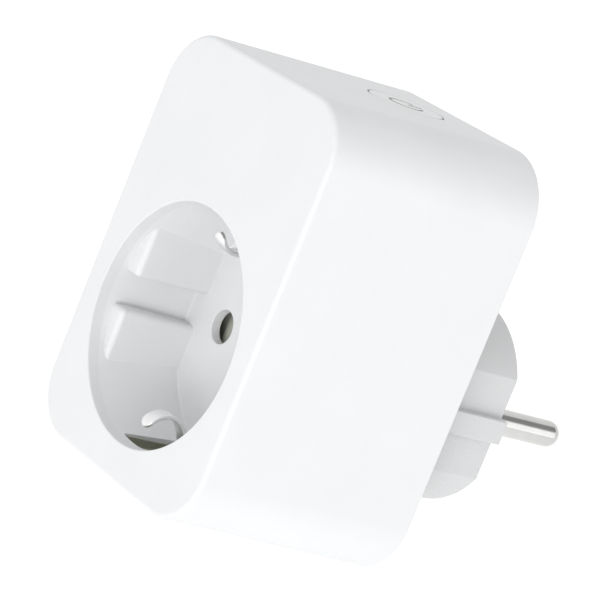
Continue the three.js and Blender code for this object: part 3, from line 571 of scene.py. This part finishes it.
LOOKS = {
    "shell_white": plastic("shell_white", (0.71, 0.718, 0.727), relief=0.016),
    "well_white": plastic("well_white", (0.745, 0.752, 0.76), roughness=0.5, grain=2000.0, relief=0.035),
    # The back cover's white is darker than the shell's: partly its own plastic's tone, partly painted
    # shade where the boss lies behind the body.
    "plug_white": plastic("plug_white", (0.585, 0.589, 0.595), roughness=0.5, grain=2000.0, relief=0.1),
    "button_white": plastic("button_white", (0.725, 0.733, 0.742)),
    "nickel": metal("nickel", (0.63, 0.63, 0.62), roughness=0.16, streak=(1.0, 0.06, 1.0)),
    "spring_metal": metal("spring_metal", (0.66, 0.64, 0.57), roughness=0.3, streak=(0.08, 1.0, 1.0)),
    # A darker, olive copy of the spring metal for the earth strips' leaves and flanges: painted shade,
    # standing in for the dark unlit interior that they reflect in their slots.
    "strip_painted_shade": metal("strip_painted_shade", (0.48, 0.48, 0.41), roughness=0.42, streak=(0.08, 1.0, 1.0)),
    # A brighter copy of the spring metal for the earth clips' noses: a painted highlight on their curved
    # faces.
    "nose_painted_highlight": metal("nose_painted_highlight", (0.92, 0.92, 0.92), roughness=0.4, streak=(0.08, 1.0, 1.0)),
    "brass": metal("brass", (0.78, 0.62, 0.30), roughness=0.28, streak=(1.0, 0.1, 1.0)),
    "copper": coil("copper", (0.72, 0.43, 0.25), pitch=520.0),
    "bar_copper": metal("bar_copper", (0.72, 0.43, 0.25), roughness=0.3, streak=(1.0, 1.0, 0.1)),
    "steel": metal("steel", (0.55, 0.56, 0.58), roughness=0.3),
    "carrier_grey": plastic("carrier_grey", (0.42, 0.42, 0.37), roughness=0.5, mottle=0.06),
    "board_green": circuit_board("board_green", (0.03, 0.16, 0.07), (0.07, 0.30, 0.14)),
    "relay_black": plastic("relay_black", (0.02, 0.021, 0.024), roughness=0.38, mottle=0.15),
    "film_yellow": plastic("film_yellow", (0.66, 0.44, 0.05), roughness=0.32, mottle=0.08),
    "varistor_blue": plastic("varistor_blue", (0.03, 0.12, 0.38), roughness=0.3, mottle=0.1, relief=0.05),
    "core_grey": plastic("core_grey", (0.045, 0.046, 0.05), roughness=0.6, mottle=0.2),
    "sleeve_dark": plastic("sleeve_dark", (0.02, 0.03, 0.05), roughness=0.25, mottle=0.12),
    "ceramic_white": plastic("ceramic_white", (0.72, 0.70, 0.64), roughness=0.3, mottle=0.05),
    "guide_clear": clear("guide_clear", (0.86, 0.90, 0.92)),
    "symbol_grey": plastic("symbol_grey", (0.20, 0.205, 0.21), roughness=0.5, mottle=0.05),
}
LOOK_OF_NODE = {row["node"]: row["material_slot"] for row in frame["record"]["subparts"]}
for bar in ("bus_bar_line", "bus_bar_neutral", "shunt_resistor"):
    LOOK_OF_NODE[bar] = "bar_copper"
for name, carried in frame["nodes"].items():
    carried.data.materials.clear()
    carried.data.materials.append(LOOKS[LOOK_OF_NODE[name]])


def finished(obj, look, body, slot, *replaced):
    """Gives a piece its look and its place in the frame."""
    obj.data.materials.clear()
    obj.data.materials.append(LOOKS[look])
    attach(obj, body)
    if replaced:
        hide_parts(*replaced)
    return obj


# ---------------------------------------------------------------- the drafted body form

def outline(y, inset):
    """The body's rounded outline at plane y, moved inwards by inset."""
    grow = DRAFT * (y - FRONT) / DEPTH - DRAFT - inset
    radius = BACK_RADIUS + grow
    centre_x = shell_high.x - BACK_RADIUS
    top = shell_high.z - BACK_RADIUS
    bottom = shell_low.z + BACK_RADIUS
    centres = [(centre_x, top), (-centre_x, top), (-centre_x, bottom), (centre_x, bottom)]
    ring = []
    for quadrant, centre in enumerate(centres):
        for x, z in arc(centre, radius, 90 * quadrant, 90 * quadrant + 90, CORNER_STEPS):
            ring.append((x, y, z))
    return ring


def body_loft(name, places):
    return loft(name, [outline(y, inset) for y, inset in places])


def outer_form():
    places = []
    for x, z in arc((0.0, 0.0), EDGE, 90, 0, EDGE_STEPS):
        places.append((FRONT + EDGE - z, EDGE - x))
    for x, z in arc((0.0, 0.0), BACK_EDGE, 0, 90, 5):
        places.append((BACK - BACK_EDGE + z, BACK_EDGE - x))
    return body_loft("front_shell_skin", places)


def cone_radius(y):
    return MOUTH_RADIUS - (MOUTH_RADIUS - FLOOR_RADIUS) * (y - FRONT) / WELL_DEPTH


# ---------------------------------------------------------------- front shell

def mouth_cutter():
    plate_back = FRONT + FRONT_WALL
    profile = [(AXIS, FRONT - OVERRUN), (MOUTH_RADIUS + LIP, FRONT - OVERRUN)]
    inner = cone_radius(FRONT + LIP)
    for x, z in arc((inner + LIP, FRONT + LIP), LIP, 270, 180, EDGE_STEPS):
        profile.append((x, z))
    behind = plate_back + OVERRUN
    profile += [(cone_radius(behind), behind), (AXIS, behind)]
    return turned("mouth", profile, FINE * 2)


def on_top_face(obj):
    """Moves a piece made about the Z axis, with z = 0 on the top face, to the button's place."""
    slope = math.atan(DRAFT / DEPTH)
    rise = shell_high.z - DRAFT * (BACK - BUTTON_Y) / DEPTH
    place = Matrix.Translation(Vector((0, BUTTON_Y, rise)) * MM) @ Matrix.Rotation(slope, 4, "X")
    obj.data.transform(place)
    return obj


def upright(name, profile):
    """A solid of revolution about Z, from (radius, z) pairs."""
    obj = turned(name, [(radius, -z) for radius, z in profile])
    obj.data.transform(Matrix.Rotation(math.radians(-90), 4, "X"))
    return obj


def front_shell():
    plate_back = FRONT + FRONT_WALL
    shell = outer_form()
    behind = BACK + OVERRUN
    cavity = body_loft("cavity", [(plate_back, SIDE_WALL), (behind, SIDE_WALL)])
    seat = body_loft("seat", [(BACK - COVER_THICKNESS - SEAT_GAP, COVER_LIP), (behind, COVER_LIP)])
    cut(shell, cavity, seat)
    root = plate_back - OVERRUN
    for x, _, z in COVER_SCREWS:
        join(shell, rod("post", COVER_POST_RADIUS, root, BACK - COVER_POST_END, (x, z)))
    for x, _, z in BOARD_SCREWS:
        join(shell, rod("post", BOARD_POST_RADIUS, root, BACK - BOARD_POST_END, (x, z)))
    for x, _, z in COVER_SCREWS + BOARD_SCREWS:
        cut(shell, rod("pilot", PILOT_RADIUS, BACK - PILOT_DEPTH, BACK, (x, z)))
    cut(shell, mouth_cutter())
    flare = [(BUTTON_HOLE, -BUTTON_CUT_DEPTH)]
    for x, z in arc((BUTTON_HOLE + BUTTON_EDGE, -BUTTON_EDGE), BUTTON_EDGE, 180, 90, 5):
        flare.append((x, z))
    flare.append((BUTTON_HOLE + BUTTON_EDGE, BUTTON_CUT_RISE))
    cut(shell, on_top_face(upright("button_hole", flare)))
    smooth(shell, FOLD_BODY)
    return finished(shell, "shell_white", "housing", "shell_white", "front_shell")


front_shell()


# ---------------------------------------------------------------- socket well

def well_cup():
    front = FRONT + FRONT_WALL + WELL_SEAM
    floor = FRONT + WELL_DEPTH
    back = floor + FLOOR_THICKNESS
    flange_back = well_low.y + WELL_FLANGE
    profile = [
        (AXIS, back),
        (FLOOR_RADIUS + WELL_WALL, back),
        (cone_radius(flange_back) + WELL_WALL, flange_back),
        (well_high.x, flange_back),
        (well_high.x, well_low.y),
        (cone_radius(front) + WELL_RIM, front),
        (cone_radius(front), front),
    ]
    profile += arc((FLOOR_RADIUS - FLOOR_FILLET, floor - FLOOR_FILLET), FLOOR_FILLET, 0, 90, 8)
    profile.append((AXIS, floor))
    return turned("socket_well_skin", profile, FINE * 2)


def guide_pads():
    front = FRONT + PAD_DEPTH
    floor = FRONT + WELL_DEPTH
    limit = turned("limit", [
        (AXIS, front - OVERRUN),
        (cone_radius(front - OVERRUN) + PAD_SINK, front - OVERRUN),
        (FLOOR_RADIUS + PAD_SINK, floor + OVERRUN),
        (AXIS, floor + OVERRUN),
    ])
    pads = []
    for side in (-1, 1):
        for level in (-1, 1):
            x = sorted((side * PAD_FACE, side * (MOUTH_RADIUS + PAD_REACH)))
            z = sorted((level * PAD_GROOVE, level * (PAD_TOP + PAD_REACH)))
            pads.append(box("pad", (x[0], front, z[0]), (x[1], floor + PAD_REACH, z[1]), PAD_EDGE, 6))
    return keep(join(*pads), limit)


def pin_hole(x, front, back):
    """A cutter for a pin hole, with a small round at its mouth."""
    profile = [(HOLE_RADIUS + HOLE_EDGE, front - OVERRUN)]
    profile += arc((HOLE_RADIUS + HOLE_EDGE, front + HOLE_EDGE), HOLE_EDGE, 270, 180, 5)
    profile.append((HOLE_RADIUS, back + OVERRUN))
    return turned("hole", profile, MEDIUM, (x, 0.0))


def groove_line(side):
    """A cutter for the shallow line along the groove's lower edge, following the well's cone."""
    rings = []
    for y in (FRONT + PAD_DEPTH + SLIT_START, FRONT + WELL_DEPTH - SLIT_STOP):
        wall = math.sqrt(cone_radius(y) ** 2 - SLIT_LOW ** 2)
        near, far = side * (wall - OVERRUN), side * (wall + SLIT_DEPTH)
        rings.append([(near, y, SLIT_LOW), (far, y, SLIT_LOW), (far, y, SLIT_HIGH), (near, y, SLIT_HIGH)])
    return loft("groove_line", rings)


def socket_well():
    floor = FRONT + WELL_DEPTH
    well = join(well_cup(), guide_pads())
    for x in (-PIN_X, PIN_X):
        cut(well, pin_hole(x, floor, floor + FLOOR_THICKNESS))
    for level in (-1, 1):
        z = sorted((level * (FLOOR_RADIUS - SLOT_INWARD), level * (well_high.x + OVERRUN)))
        low = (-SLOT_HALF, FRONT + SLOT_FRONT, z[0])
        high = (SLOT_HALF, FRONT + SLOT_BACK, z[1])
        cut(well, box("slot", low, high, SLOT_EDGE, 3))
    for side in (-1, 1):
        cut(well, groove_line(side))
    smooth(well, FOLD_BODY)
    return finished(well, "well_white", "housing", "well_white", "socket_well")


socket_well()


# ---------------------------------------------------------------- back cover with the plug boss

def boss_ring(y, inset):
    """The boss's outline: a circle with two flats."""
    radius = BOSS_RADIUS - inset
    half = BOSS_FLAT - inset
    reach = math.degrees(math.acos(half / radius))
    ring = []
    for start in (reach, 180 + reach):
        for x, z in arc((0.0, 0.0), radius, start, start + 180 - 2 * reach, BOSS_STEPS):
            ring.append((x, y, z))
    return ring


def boss_form(name, inset, y0, y1, edge):
    rings = [boss_ring(y0, inset)]
    if edge:
        for x, z in arc((0.0, 0.0), edge, 0, 90, 6):
            rings.append(boss_ring(y1 - edge + z, inset + edge - x))
    else:
        rings.append(boss_ring(y1, inset))
    return loft(name, rings)


def earth_windows():
    channels = []
    for level in (-1, 1):
        inside = sorted((level * WINDOW_INNER, level * CHANNEL_OUTER))
        outside = sorted((level * WINDOW_INNER, level * (BOSS_RADIUS + OVERRUN)))
        low = (-WINDOW_HALF, BACK - CHANNEL_FRONT, inside[0])
        channels.append(box("channel", low, (WINDOW_HALF, WINDOW_BACK, inside[1])))
        low = (-WINDOW_HALF, BACK + WINDOW_FRONT, outside[0])
        high = (WINDOW_HALF, WINDOW_BACK, outside[1])
        channels.append(box("window", low, high, WINDOW_EDGE, 3))
    return channels


def cover_plate():
    lip = COVER_LIP + COVER_GAP
    front = BACK - COVER_THICKNESS
    places = [(front, lip)]
    for x, z in arc((0.0, 0.0), COVER_EDGE, 0, 90, 5):
        places.append((BACK - COVER_EDGE + z, lip + COVER_EDGE - x))
    return body_loft("back_cover_skin", places)


def flared_hole(name, radius, start, face, edge, centre):
    """A cutter for a round hole from start out through face, with a small round at its mouth."""
    profile = [(radius, start), (radius, face - edge)]
    profile += arc((radius + edge, face - edge), edge, 180, 90, 4)
    profile.append((radius + edge, face + OVERRUN))
    return turned(name, profile, MEDIUM, centre)


def back_cover():
    cover = cover_plate()
    limit = body_loft("limit", [(BACK - SCREW_PAD_LIMIT, SCREW_PAD_INSET), (BACK, SCREW_PAD_INSET)])
    pads = [
        rod("pad", SCREW_PAD_RADIUS, BACK - SCREW_PAD_FRONT, BACK - BOSS_ROOT, (x, z))
        for x, _, z in COVER_SCREWS]
    join(cover, keep(join(*pads), limit))
    join(cover, boss_form("boss", 0.0, BACK - BOSS_ROOT, 0.0, BOSS_EDGE))
    for side in (-1, 1):
        x = sorted((side * (BOSS_FLAT - BOSS_RIB_ROOT), side * BOSS_RIB))
        low = (x[0], BACK - OVERRUN, -BOSS_RIB_HALF)
        join(cover, box("rib", low, (x[1], 0.0, BOSS_RIB_HALF), BOSS_RIB_EDGE, 3))
    hollow = boss_form("cavity", BOSS_WALL, BACK - BOSS_CAVITY_FRONT, -BOSS_END, 0.0)
    cut(cover, hollow, *earth_windows())
    for x in (-PIN_X, PIN_X):
        join(cover, rod("pillar", PILLAR_RADIUS, PILLAR_FRONT, PILLAR_BACK, (x, 0.0)))
    for x in (-PIN_X, PIN_X):
        cut(cover, flared_hole("pin_hole", PIN_RADIUS + PIN_FIT, BACK, 0.0, PIN_HOLE_EDGE, (x, 0.0)))
    for x, _, z in COVER_SCREWS:
        floor = BACK - SCREW_RECESS_DEPTH
        recess = flared_hole(
            "recess", SCREW_RECESS_RADIUS, floor, BACK, SCREW_RECESS_EDGE, (x, z))
        cut(cover, recess, rod("shank", PILOT_RADIUS, BACK - SCREW_PAD_LIMIT, BACK, (x, z)))
    for x, _, z in BOARD_SCREWS:
        cut(cover, rod("relief", RELIEF_RADIUS, BACK - RELIEF_FRONT, BACK - RELIEF_BACK, (x, z)))
    smooth(cover, FOLD_BODY)
    # The back cover's darker white is partly its own tone and partly painted shade.
    return finished(cover, "plug_white", "housing", "plug_white", "back_cover")


back_cover()


# ---------------------------------------------------------------- pins, earth strips and screws

def plug_pin(name, x):
    flange_front = PIN_FLANGE_BACK - PIN_FLANGE_THICKNESS
    profile = [
        (AXIS, pin_low.y),
        (PIN_TAIL_END, pin_low.y),
        (PIN_TAIL_RADIUS, pin_low.y + PIN_TAIL_CHAMFER),
        (PIN_TAIL_RADIUS, flange_front),
        (PIN_FLANGE_RADIUS, flange_front),
        (PIN_FLANGE_RADIUS, PIN_FLANGE_BACK),
        (PIN_RADIUS, PIN_FLANGE_BACK),
    ]
    tip = PIN_LENGTH - PIN_RADIUS
    profile += arc((0.0, tip), PIN_RADIUS, 0, PIN_TIP_STOP, PIN_TIP_STEPS)
    pin = turned(f"{name}_skin", profile, PIN_SIDES, (x, 0.0))
    smooth(pin, FOLD_METAL)
    return finished(pin, "nickel", "housing", "nickel", name)


plug_pin("plug_pin_neutral", -PIN_X)
plug_pin("plug_pin_line", PIN_X)


def smooth_line(points, samples):
    """Points along a centripetal Catmull-Rom curve, each with its unit direction."""
    places = [Vector(p) for p in points]
    places = [2 * places[0] - places[1]] + places + [2 * places[-1] - places[-2]]
    line = []
    for first in range(len(places) - 3):
        p0, p1, p2, p3 = places[first:first + 4]
        t0 = 0.0
        t1 = t0 + (p1 - p0).length ** 0.5
        t2 = t1 + (p2 - p1).length ** 0.5
        t3 = t2 + (p3 - p2).length ** 0.5
        last = samples if first < len(places) - 4 else samples + 1
        for k in range(last):
            t = t1 + (t2 - t1) * k / samples
            a1 = (t1 - t) / (t1 - t0) * p0 + (t - t0) / (t1 - t0) * p1
            a2 = (t2 - t) / (t2 - t1) * p1 + (t - t1) / (t2 - t1) * p2
            a3 = (t3 - t) / (t3 - t2) * p2 + (t - t2) / (t3 - t2) * p3
            b1 = (t2 - t) / (t2 - t0) * a1 + (t - t0) / (t2 - t0) * a2
            b2 = (t3 - t) / (t3 - t1) * a2 + (t - t1) / (t3 - t1) * a3
            line.append((t2 - t) / (t2 - t1) * b1 + (t - t1) / (t2 - t1) * b2)
    directions = []
    for k, _ in enumerate(line):
        ahead = line[min(k + 1, len(line) - 1)] - line[max(k - 1, 0)]
        directions.append(ahead.normalized())
    return list(zip(line, directions))


def ribbon(name, points, thickness, half_width, round_end):
    """A bent strip through (y, z) points, its width along X, with rounded edges.

    The far end is a half circle when round_end is set, and square when it is not.
    """
    edge = thickness * STRIP_ROUND
    line = smooth_line(points, STRIP_STEPS)
    run = [0.0]
    for (here, _), (after, _) in zip(line, line[1:]):
        run.append(run[-1] + (after - here).length)
    rings = []
    for (place, along), travelled in zip(line, run):
        half = half_width
        left = run[-1] - travelled
        if round_end and left < half_width:
            half = math.sqrt(max(0.0, half_width ** 2 - (half_width - left) ** 2))
            half = max(half, edge * STRIP_END_LEAST)
        out = Vector((-along.y, along.x))
        h = thickness / 2
        section = []
        for cx, cn, start in (
            (half - edge, h - edge, 0), (-half + edge, h - edge, 90),
            (-half + edge, -h + edge, 180), (half - edge, -h + edge, 270),
        ):
            section += arc((cx, cn), edge, start, start + 90, 3)
        rings.append([(x, place.x + out.x * n, place.y + out.y * n) for x, n in section])
    return loft(name, rings)


def earth_strip(name, level):
    """One strip from its (y, z) paths: a leaf from well to plug face, and the nose a plug presses."""
    z_leaf = strip_high.z - STRIP_THICKNESS / 2
    z_plug = STRIP_PLUG_Z
    leaf = [
        (strip_low.y, z_leaf), (-44.0, z_leaf), (-33.5, z_leaf), (-29.6, z_leaf),
        (-28.2, z_leaf - 0.3), (-27.5, z_leaf - 1.3), (-27.2, 19.0), (-26.6, 17.2),
        (-25.4, z_plug), (-20.0, z_plug), (-14.5, z_plug), (-8.5, 17.2), (-2.2, 16.1),
    ]
    nose = [
        (FRONT + 15.2, z_leaf - 0.1), (FRONT + 13.0, 19.2), (FRONT + 11.0, 16.4),
        (FRONT + 9.4, 15.2), (FRONT + 7.7, 14.8), (FRONT + 6.2, 15.1),
        (FRONT + 5.1, 15.8), (FRONT + 4.4, 16.7), (FRONT + 4.1, 17.6),
    ]
    path = [(y, level * z) for y, z in leaf]
    strip = ribbon(f"{name}_skin", path, STRIP_THICKNESS, STRIP_HALF, False)
    for side in (-1, 1):
        x = sorted((side * FLANGE_INNER, side * FLANGE_OUTER))
        z = sorted((level * FLANGE_Z, level * z_leaf))
        low = (x[0], strip_low.y + FLANGE_START, z[0])
        join(strip, box("flange", low, (x[1], FLANGE_BACK, z[1]), FLANGE_EDGE, 2))
    smooth(strip, FOLD_METAL)
    # The leaf and its flanges take the darker copy of the spring metal, painted shade.
    finished(strip, "strip_painted_shade", "housing", "spring_metal", name)
    path = [(y, level * z) for y, z in nose]
    tongue = ribbon(f"{name}_nose", path, STRIP_THICKNESS, NOSE_HALF, True)
    smooth(tongue, FOLD_METAL)
    # The nose takes the brighter copy of the spring metal, a painted highlight.
    return finished(tongue, "nose_painted_highlight", "housing", "spring_metal")


earth_strip("earth_strip_upper", 1)
earth_strip("earth_strip_lower", -1)


def cover_screw(name, x, z):
    """A pan-head screw with a six-lobed recess and a plain shank."""
    face = screw_high.y
    under = face - SCREW_HEAD_HEIGHT
    profile = [
        (AXIS, screw_low.y),
        (SCREW_TIP_RADIUS, screw_low.y),
        (SCREW_SHANK_RADIUS, screw_low.y + SCREW_TIP_LENGTH),
        (SCREW_SHANK_RADIUS, under),
        (SCREW_HEAD_RADIUS, under),
    ]
    rounding = (SCREW_HEAD_RADIUS - SCREW_HEAD_ROUND, face - SCREW_HEAD_ROUND)
    profile += arc(rounding, SCREW_HEAD_ROUND, 0, 90, 6)
    profile.append((AXIS, face))
    screw = turned(f"{name}_skin", profile, MEDIUM, (x, z))
    ring = []
    for k in range(LOBE_POINTS):
        angle = math.tau * k / LOBE_POINTS
        radius = LOBE_RADIUS + LOBE_SWELL * math.cos(LOBES * angle)
        ring.append((x + radius * math.cos(angle), z + radius * math.sin(angle)))
    depths = (face - LOBE_DEPTH, face + LOBE_CUT_RISE)
    recess = loft("recess", [[(px, y, pz) for px, pz in ring] for y in depths])
    cut(screw, recess)
    smooth(screw)
    return finished(screw, "steel", "housing", "steel", name)


for number, (screw_x, _, screw_z) in enumerate(COVER_SCREWS, 1):
    cover_screw(f"cover_screw_{number}", screw_x, screw_z)


# ---------------------------------------------------------------- push button

def button_cap():
    underside = cap_low.z - (shell_high.z - DRAFT * (BACK - BUTTON_Y) / DEPTH)
    bore = BUTTON_RADIUS - CAP_WALL
    brim = BUTTON_RADIUS + CAP_FLANGE
    outer = [
        (AXIS, -CAP_THICKNESS),
        (bore, -CAP_THICKNESS),
        (bore, underside + CAP_FLANGE_LOW),
        (brim, underside + CAP_FLANGE_LOW),
        (brim, underside + CAP_FLANGE_HIGH),
        (BUTTON_RADIUS, underside + CAP_FLANGE_ROOT),
    ]
    outer += arc((BUTTON_RADIUS - BUTTON_EDGE, -BUTTON_EDGE), BUTTON_EDGE, 0, 90, 5)
    outer.append((AXIS, 0.0))
    cap = on_top_face(upright("button_cap_skin", outer))
    smooth(cap)
    return finished(cap, "button_white", "button", "button_white", "button_cap")


button_cap()


def flat_ring(name, inner, outer, start, stop, steps):
    """A thin annular stroke with round ends, lying on z = 0."""
    middle = (inner + outer) / 2
    half = (outer - inner) / 2
    first = math.radians(start)
    last = math.radians(stop)
    far_end = (middle * math.cos(last), middle * math.sin(last))
    near_end = (middle * math.cos(first), middle * math.sin(first))
    path = arc((0.0, 0.0), outer, start, stop, steps)
    path += arc(far_end, half, stop, stop + 180, 6)[1:-1]
    path += arc((0.0, 0.0), inner, stop, start, steps)
    path += arc(near_end, half, start + 180, start + 360, 6)[1:-1]
    return loft(name, [[(x, y, z) for x, y in path] for z in (-SYMBOL_SINK, SYMBOL_PROUD)])


def power_symbol():
    """The generic standby mark: a broken ring and a bar."""
    half = SYMBOL_STROKE / 2
    inner, outer = SYMBOL_RADIUS - half, SYMBOL_RADIUS + half
    ring = flat_ring("button_symbol", inner, outer, 90 + SYMBOL_GAP, 90 + 360 - SYMBOL_GAP, MEDIUM)
    bar = arc((0.0, SYMBOL_RADIUS + SYMBOL_BAR_ABOVE), half, 0, 180, 8)
    bar += arc((0.0, SYMBOL_RADIUS - SYMBOL_BAR_BELOW), half, 180, 360, 8)
    stroke = loft("bar", [[(x, y, z) for x, y in bar] for z in (-SYMBOL_SINK, SYMBOL_PROUD)])
    symbol = on_top_face(join(ring, stroke))
    smooth(symbol)
    return finished(symbol, "symbol_grey", "button", "button_white")


power_symbol()


# ---------------------------------------------------------------- shutter behind the pin holes

def shutter_slide():
    """A sliding frame whose two blades close the pin holes, each with a ramp that a pin pushes."""
    low, high = slide_low, slide_high
    slide = box("shutter_slide_skin", tuple(low), tuple(high), SLIDE_EDGE, 3)
    half = SLIDE_WINDOW_HALF
    gap = PIN_X - half
    opening = ((-gap, low.y - OVERRUN, -half), (gap, high.y + OVERRUN, half))
    cut(slide, box("window", *opening, SLIDE_WINDOW_EDGE, 3))
    for x in (-PIN_X, PIN_X):
        far = x - half - OVERRUN
        ramp = [
            (x + RAMP_START, low.y),
            (x - RAMP_BEND, low.y + RAMP_BEND_DEPTH),
            (far, low.y + RAMP_DEPTH),
            (far, low.y - OVERRUN),
            (x + RAMP_START, low.y - OVERRUN),
        ]
        cut(slide, loft("ramp", [[(px, py, z) for px, py in ramp] for z in (-RAMP_HALF, RAMP_HALF)]))
    smooth(slide, FOLD_BODY)
    return finished(slide, "carrier_grey", "shutter", "carrier_grey", "shutter_slide")


shutter_slide()


def shutter_spring():
    """The coil that closes the shutter, built at one length with a mesh of its own."""
    low, high = corners("shutter_spring")
    centre_y = (low.y + high.y) / 2
    centre_z = (low.z + high.z) / 2
    radius = (high.z - low.z) / 2 - SPRING_WIRE
    first = low.x + SPRING_WIRE
    last = high.x - SPRING_WIRE
    steps = SPRING_TURNS * SPRING_STEPS
    rings = []
    for k in range(steps + 1):
        angle = math.tau * k / SPRING_STEPS
        out = Vector((0.0, math.cos(angle), math.sin(angle)))
        x = first + (last - first) * k / steps
        centre = Vector((x, centre_y, centre_z)) + out * radius
        across = Vector((1.0, 0.0, 0.0))
        rings.append([
            tuple(centre + out * n + across * m)
            for n, m in arc((0.0, 0.0), SPRING_WIRE, 0, 360, SPRING_SIDES)[:-1]])
    spring = loft("shutter_spring_skin", rings)
    smooth(spring, FOLD_SPRING)
    finished(spring, "steel", "housing", "steel", "shutter_spring")
    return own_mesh(spring)


shutter_spring()


# ---------------------------------------------------------------- floor, light and camera

# From here on lengths are in metres, angles in degrees and powers in watts.
TARGET = Vector((-10.0, -30.8, 7.9)) * MM
CAMERA_AZIMUTH = 52.13
CAMERA_ELEVATION = 9.31
CAMERA_ROLL = 22.05
CAMERA_DISTANCE = 0.5435
CAMERA_LENS = 188.19
CAMERA_SENSOR = 36.0
CAMERA_NEAR = 0.01
FLOOR_DROP = 0.35
FLOOR_HALF = 30.0
FLOOR_CLOUD_SCALE = 2.0
FLOOR_GREYS = (0.55, 0.56)
FLOOR_ROUGHNESS = 0.9
FLOOR_GLOW = 0.62
LIGHT_DISTANCE = 0.9

# The studio's brightness by the height of the direction looked in, and one dark flag in it.
SKY_LOW = 0.15
SKY_HIGH = 0.8
SKY_OVERHEAD = 0.92
FLAG = Vector((0.40, 0.61, 0.72)).normalized()
FLAG_REACH = 22
FLAG_CORE = 14
FLAG_STRENGTH = 0.34


def direction(azimuth, elevation):
    """From the object towards a viewer at that azimuth and elevation."""
    a = math.radians(azimuth)
    e = math.radians(elevation)
    return Vector((math.sin(a) * math.cos(e), -math.cos(a) * math.cos(e), math.sin(e)))


def facing(towards, roll):
    """A rotation whose -Z looks against towards, turned about the line of sight by roll degrees."""
    right = Vector((0, 0, 1)).cross(towards).normalized()
    up = towards.cross(right)
    turn = math.radians(roll)
    turned_right = right * math.cos(turn) + up * math.sin(turn)
    turned_up = up * math.cos(turn) - right * math.sin(turn)
    return Matrix((turned_right, turned_up, towards)).transposed()


def add_camera():
    towards = direction(CAMERA_AZIMUTH, CAMERA_ELEVATION)
    camera = bpy.data.objects.new("camera", bpy.data.cameras.new("camera"))
    bpy.context.scene.collection.objects.link(camera)
    camera.matrix_world = (
        Matrix.Translation(TARGET + towards * CAMERA_DISTANCE)
        @ facing(towards, CAMERA_ROLL).to_4x4())
    camera.data.lens = CAMERA_LENS
    camera.data.sensor_width = CAMERA_SENSOR
    camera.data.clip_start = CAMERA_NEAR
    bpy.context.scene.camera = camera


def add_floor():
    half = FLOOR_HALF
    z = cad_low.z - FLOOR_DROP
    mesh = bpy.data.meshes.new("floor")
    plan = [(-half, -half, z), (half, -half, z), (half, half, z), (-half, half, z)]
    mesh.from_pydata(plan, [], [(0, 1, 2, 3)])
    floor = bpy.data.objects.new("floor", mesh)
    bpy.context.scene.collection.objects.link(floor)
    material, tree, shader, place = start_material("floor")
    cloud = noise(tree, place, FLOOR_CLOUD_SCALE)
    dark, light = [(grey, grey, grey) for grey in FLOOR_GREYS]
    tint = blend_colours(tree, cloud, dark, light)
    tree.links.new(tint, shader.inputs["Base Color"])
    shader.inputs["Roughness"].default_value = FLOOR_ROUGHNESS
    shader.inputs["Specular IOR Level"].default_value = 0.0
    shader.inputs["Emission Color"].default_value = (1, 1, 1, 1)
    shader.inputs["Emission Strength"].default_value = FLOOR_GLOW
    mesh.materials.append(material)


def add_light(name, towards, size, power):
    data = bpy.data.lights.new(name, "AREA")
    data.shape = "DISK"
    data.size = size
    data.energy = power
    light = bpy.data.objects.new(name, data)
    bpy.context.scene.collection.objects.link(light)
    light.matrix_world = (
        Matrix.Translation(TARGET + towards * LIGHT_DISTANCE) @ facing(towards, 0.0).to_4x4())


def add_world():
    """A white studio, a little dimmer overhead, with one dark flag behind and above the pins."""
    world = bpy.data.worlds.new("studio")
    bpy.context.scene.world = world
    world.use_nodes = True
    tree = world.node_tree
    sky = tree.nodes["Background"]
    place = node(tree, "ShaderNodeTexCoord").outputs["Generated"]
    axes = node(tree, "ShaderNodeSeparateXYZ")
    tree.links.new(place, axes.inputs["Vector"])
    height = node(tree, "ShaderNodeMapRange", interpolation_type="SMOOTHSTEP")
    height.inputs["From Min"].default_value = SKY_LOW
    height.inputs["From Max"].default_value = SKY_HIGH
    height.inputs["To Min"].default_value = 1.0
    height.inputs["To Max"].default_value = SKY_OVERHEAD
    tree.links.new(axes.outputs["Z"], height.inputs["Value"])
    aim = node(tree, "ShaderNodeVectorMath", operation="DOT_PRODUCT")
    aim.inputs[1].default_value = FLAG
    tree.links.new(place, aim.inputs[0])
    shadow = node(tree, "ShaderNodeMapRange", interpolation_type="SMOOTHSTEP")
    shadow.inputs["From Min"].default_value = math.cos(math.radians(FLAG_REACH))
    shadow.inputs["From Max"].default_value = math.cos(math.radians(FLAG_CORE))
    shadow.inputs["To Min"].default_value = 1.0
    shadow.inputs["To Max"].default_value = FLAG_STRENGTH
    tree.links.new(aim.outputs["Value"], shadow.inputs["Value"])
    product = node(tree, "ShaderNodeMath", operation="MULTIPLY")
    tree.links.new(height.outputs["Result"], product.inputs[0])
    tree.links.new(shadow.outputs["Result"], product.inputs[1])
    tree.links.new(product.outputs["Value"], sky.inputs["Strength"])
    sky.inputs["Color"].default_value = (1, 1, 1, 1)


add_camera()
add_floor()
add_world()
add_light("key", direction(46, -14), size=0.32, power=2.2)
add_light("rim", direction(128, 7), size=0.55, power=0.38)
bpy.context.scene.view_settings.view_transform = "Standard"
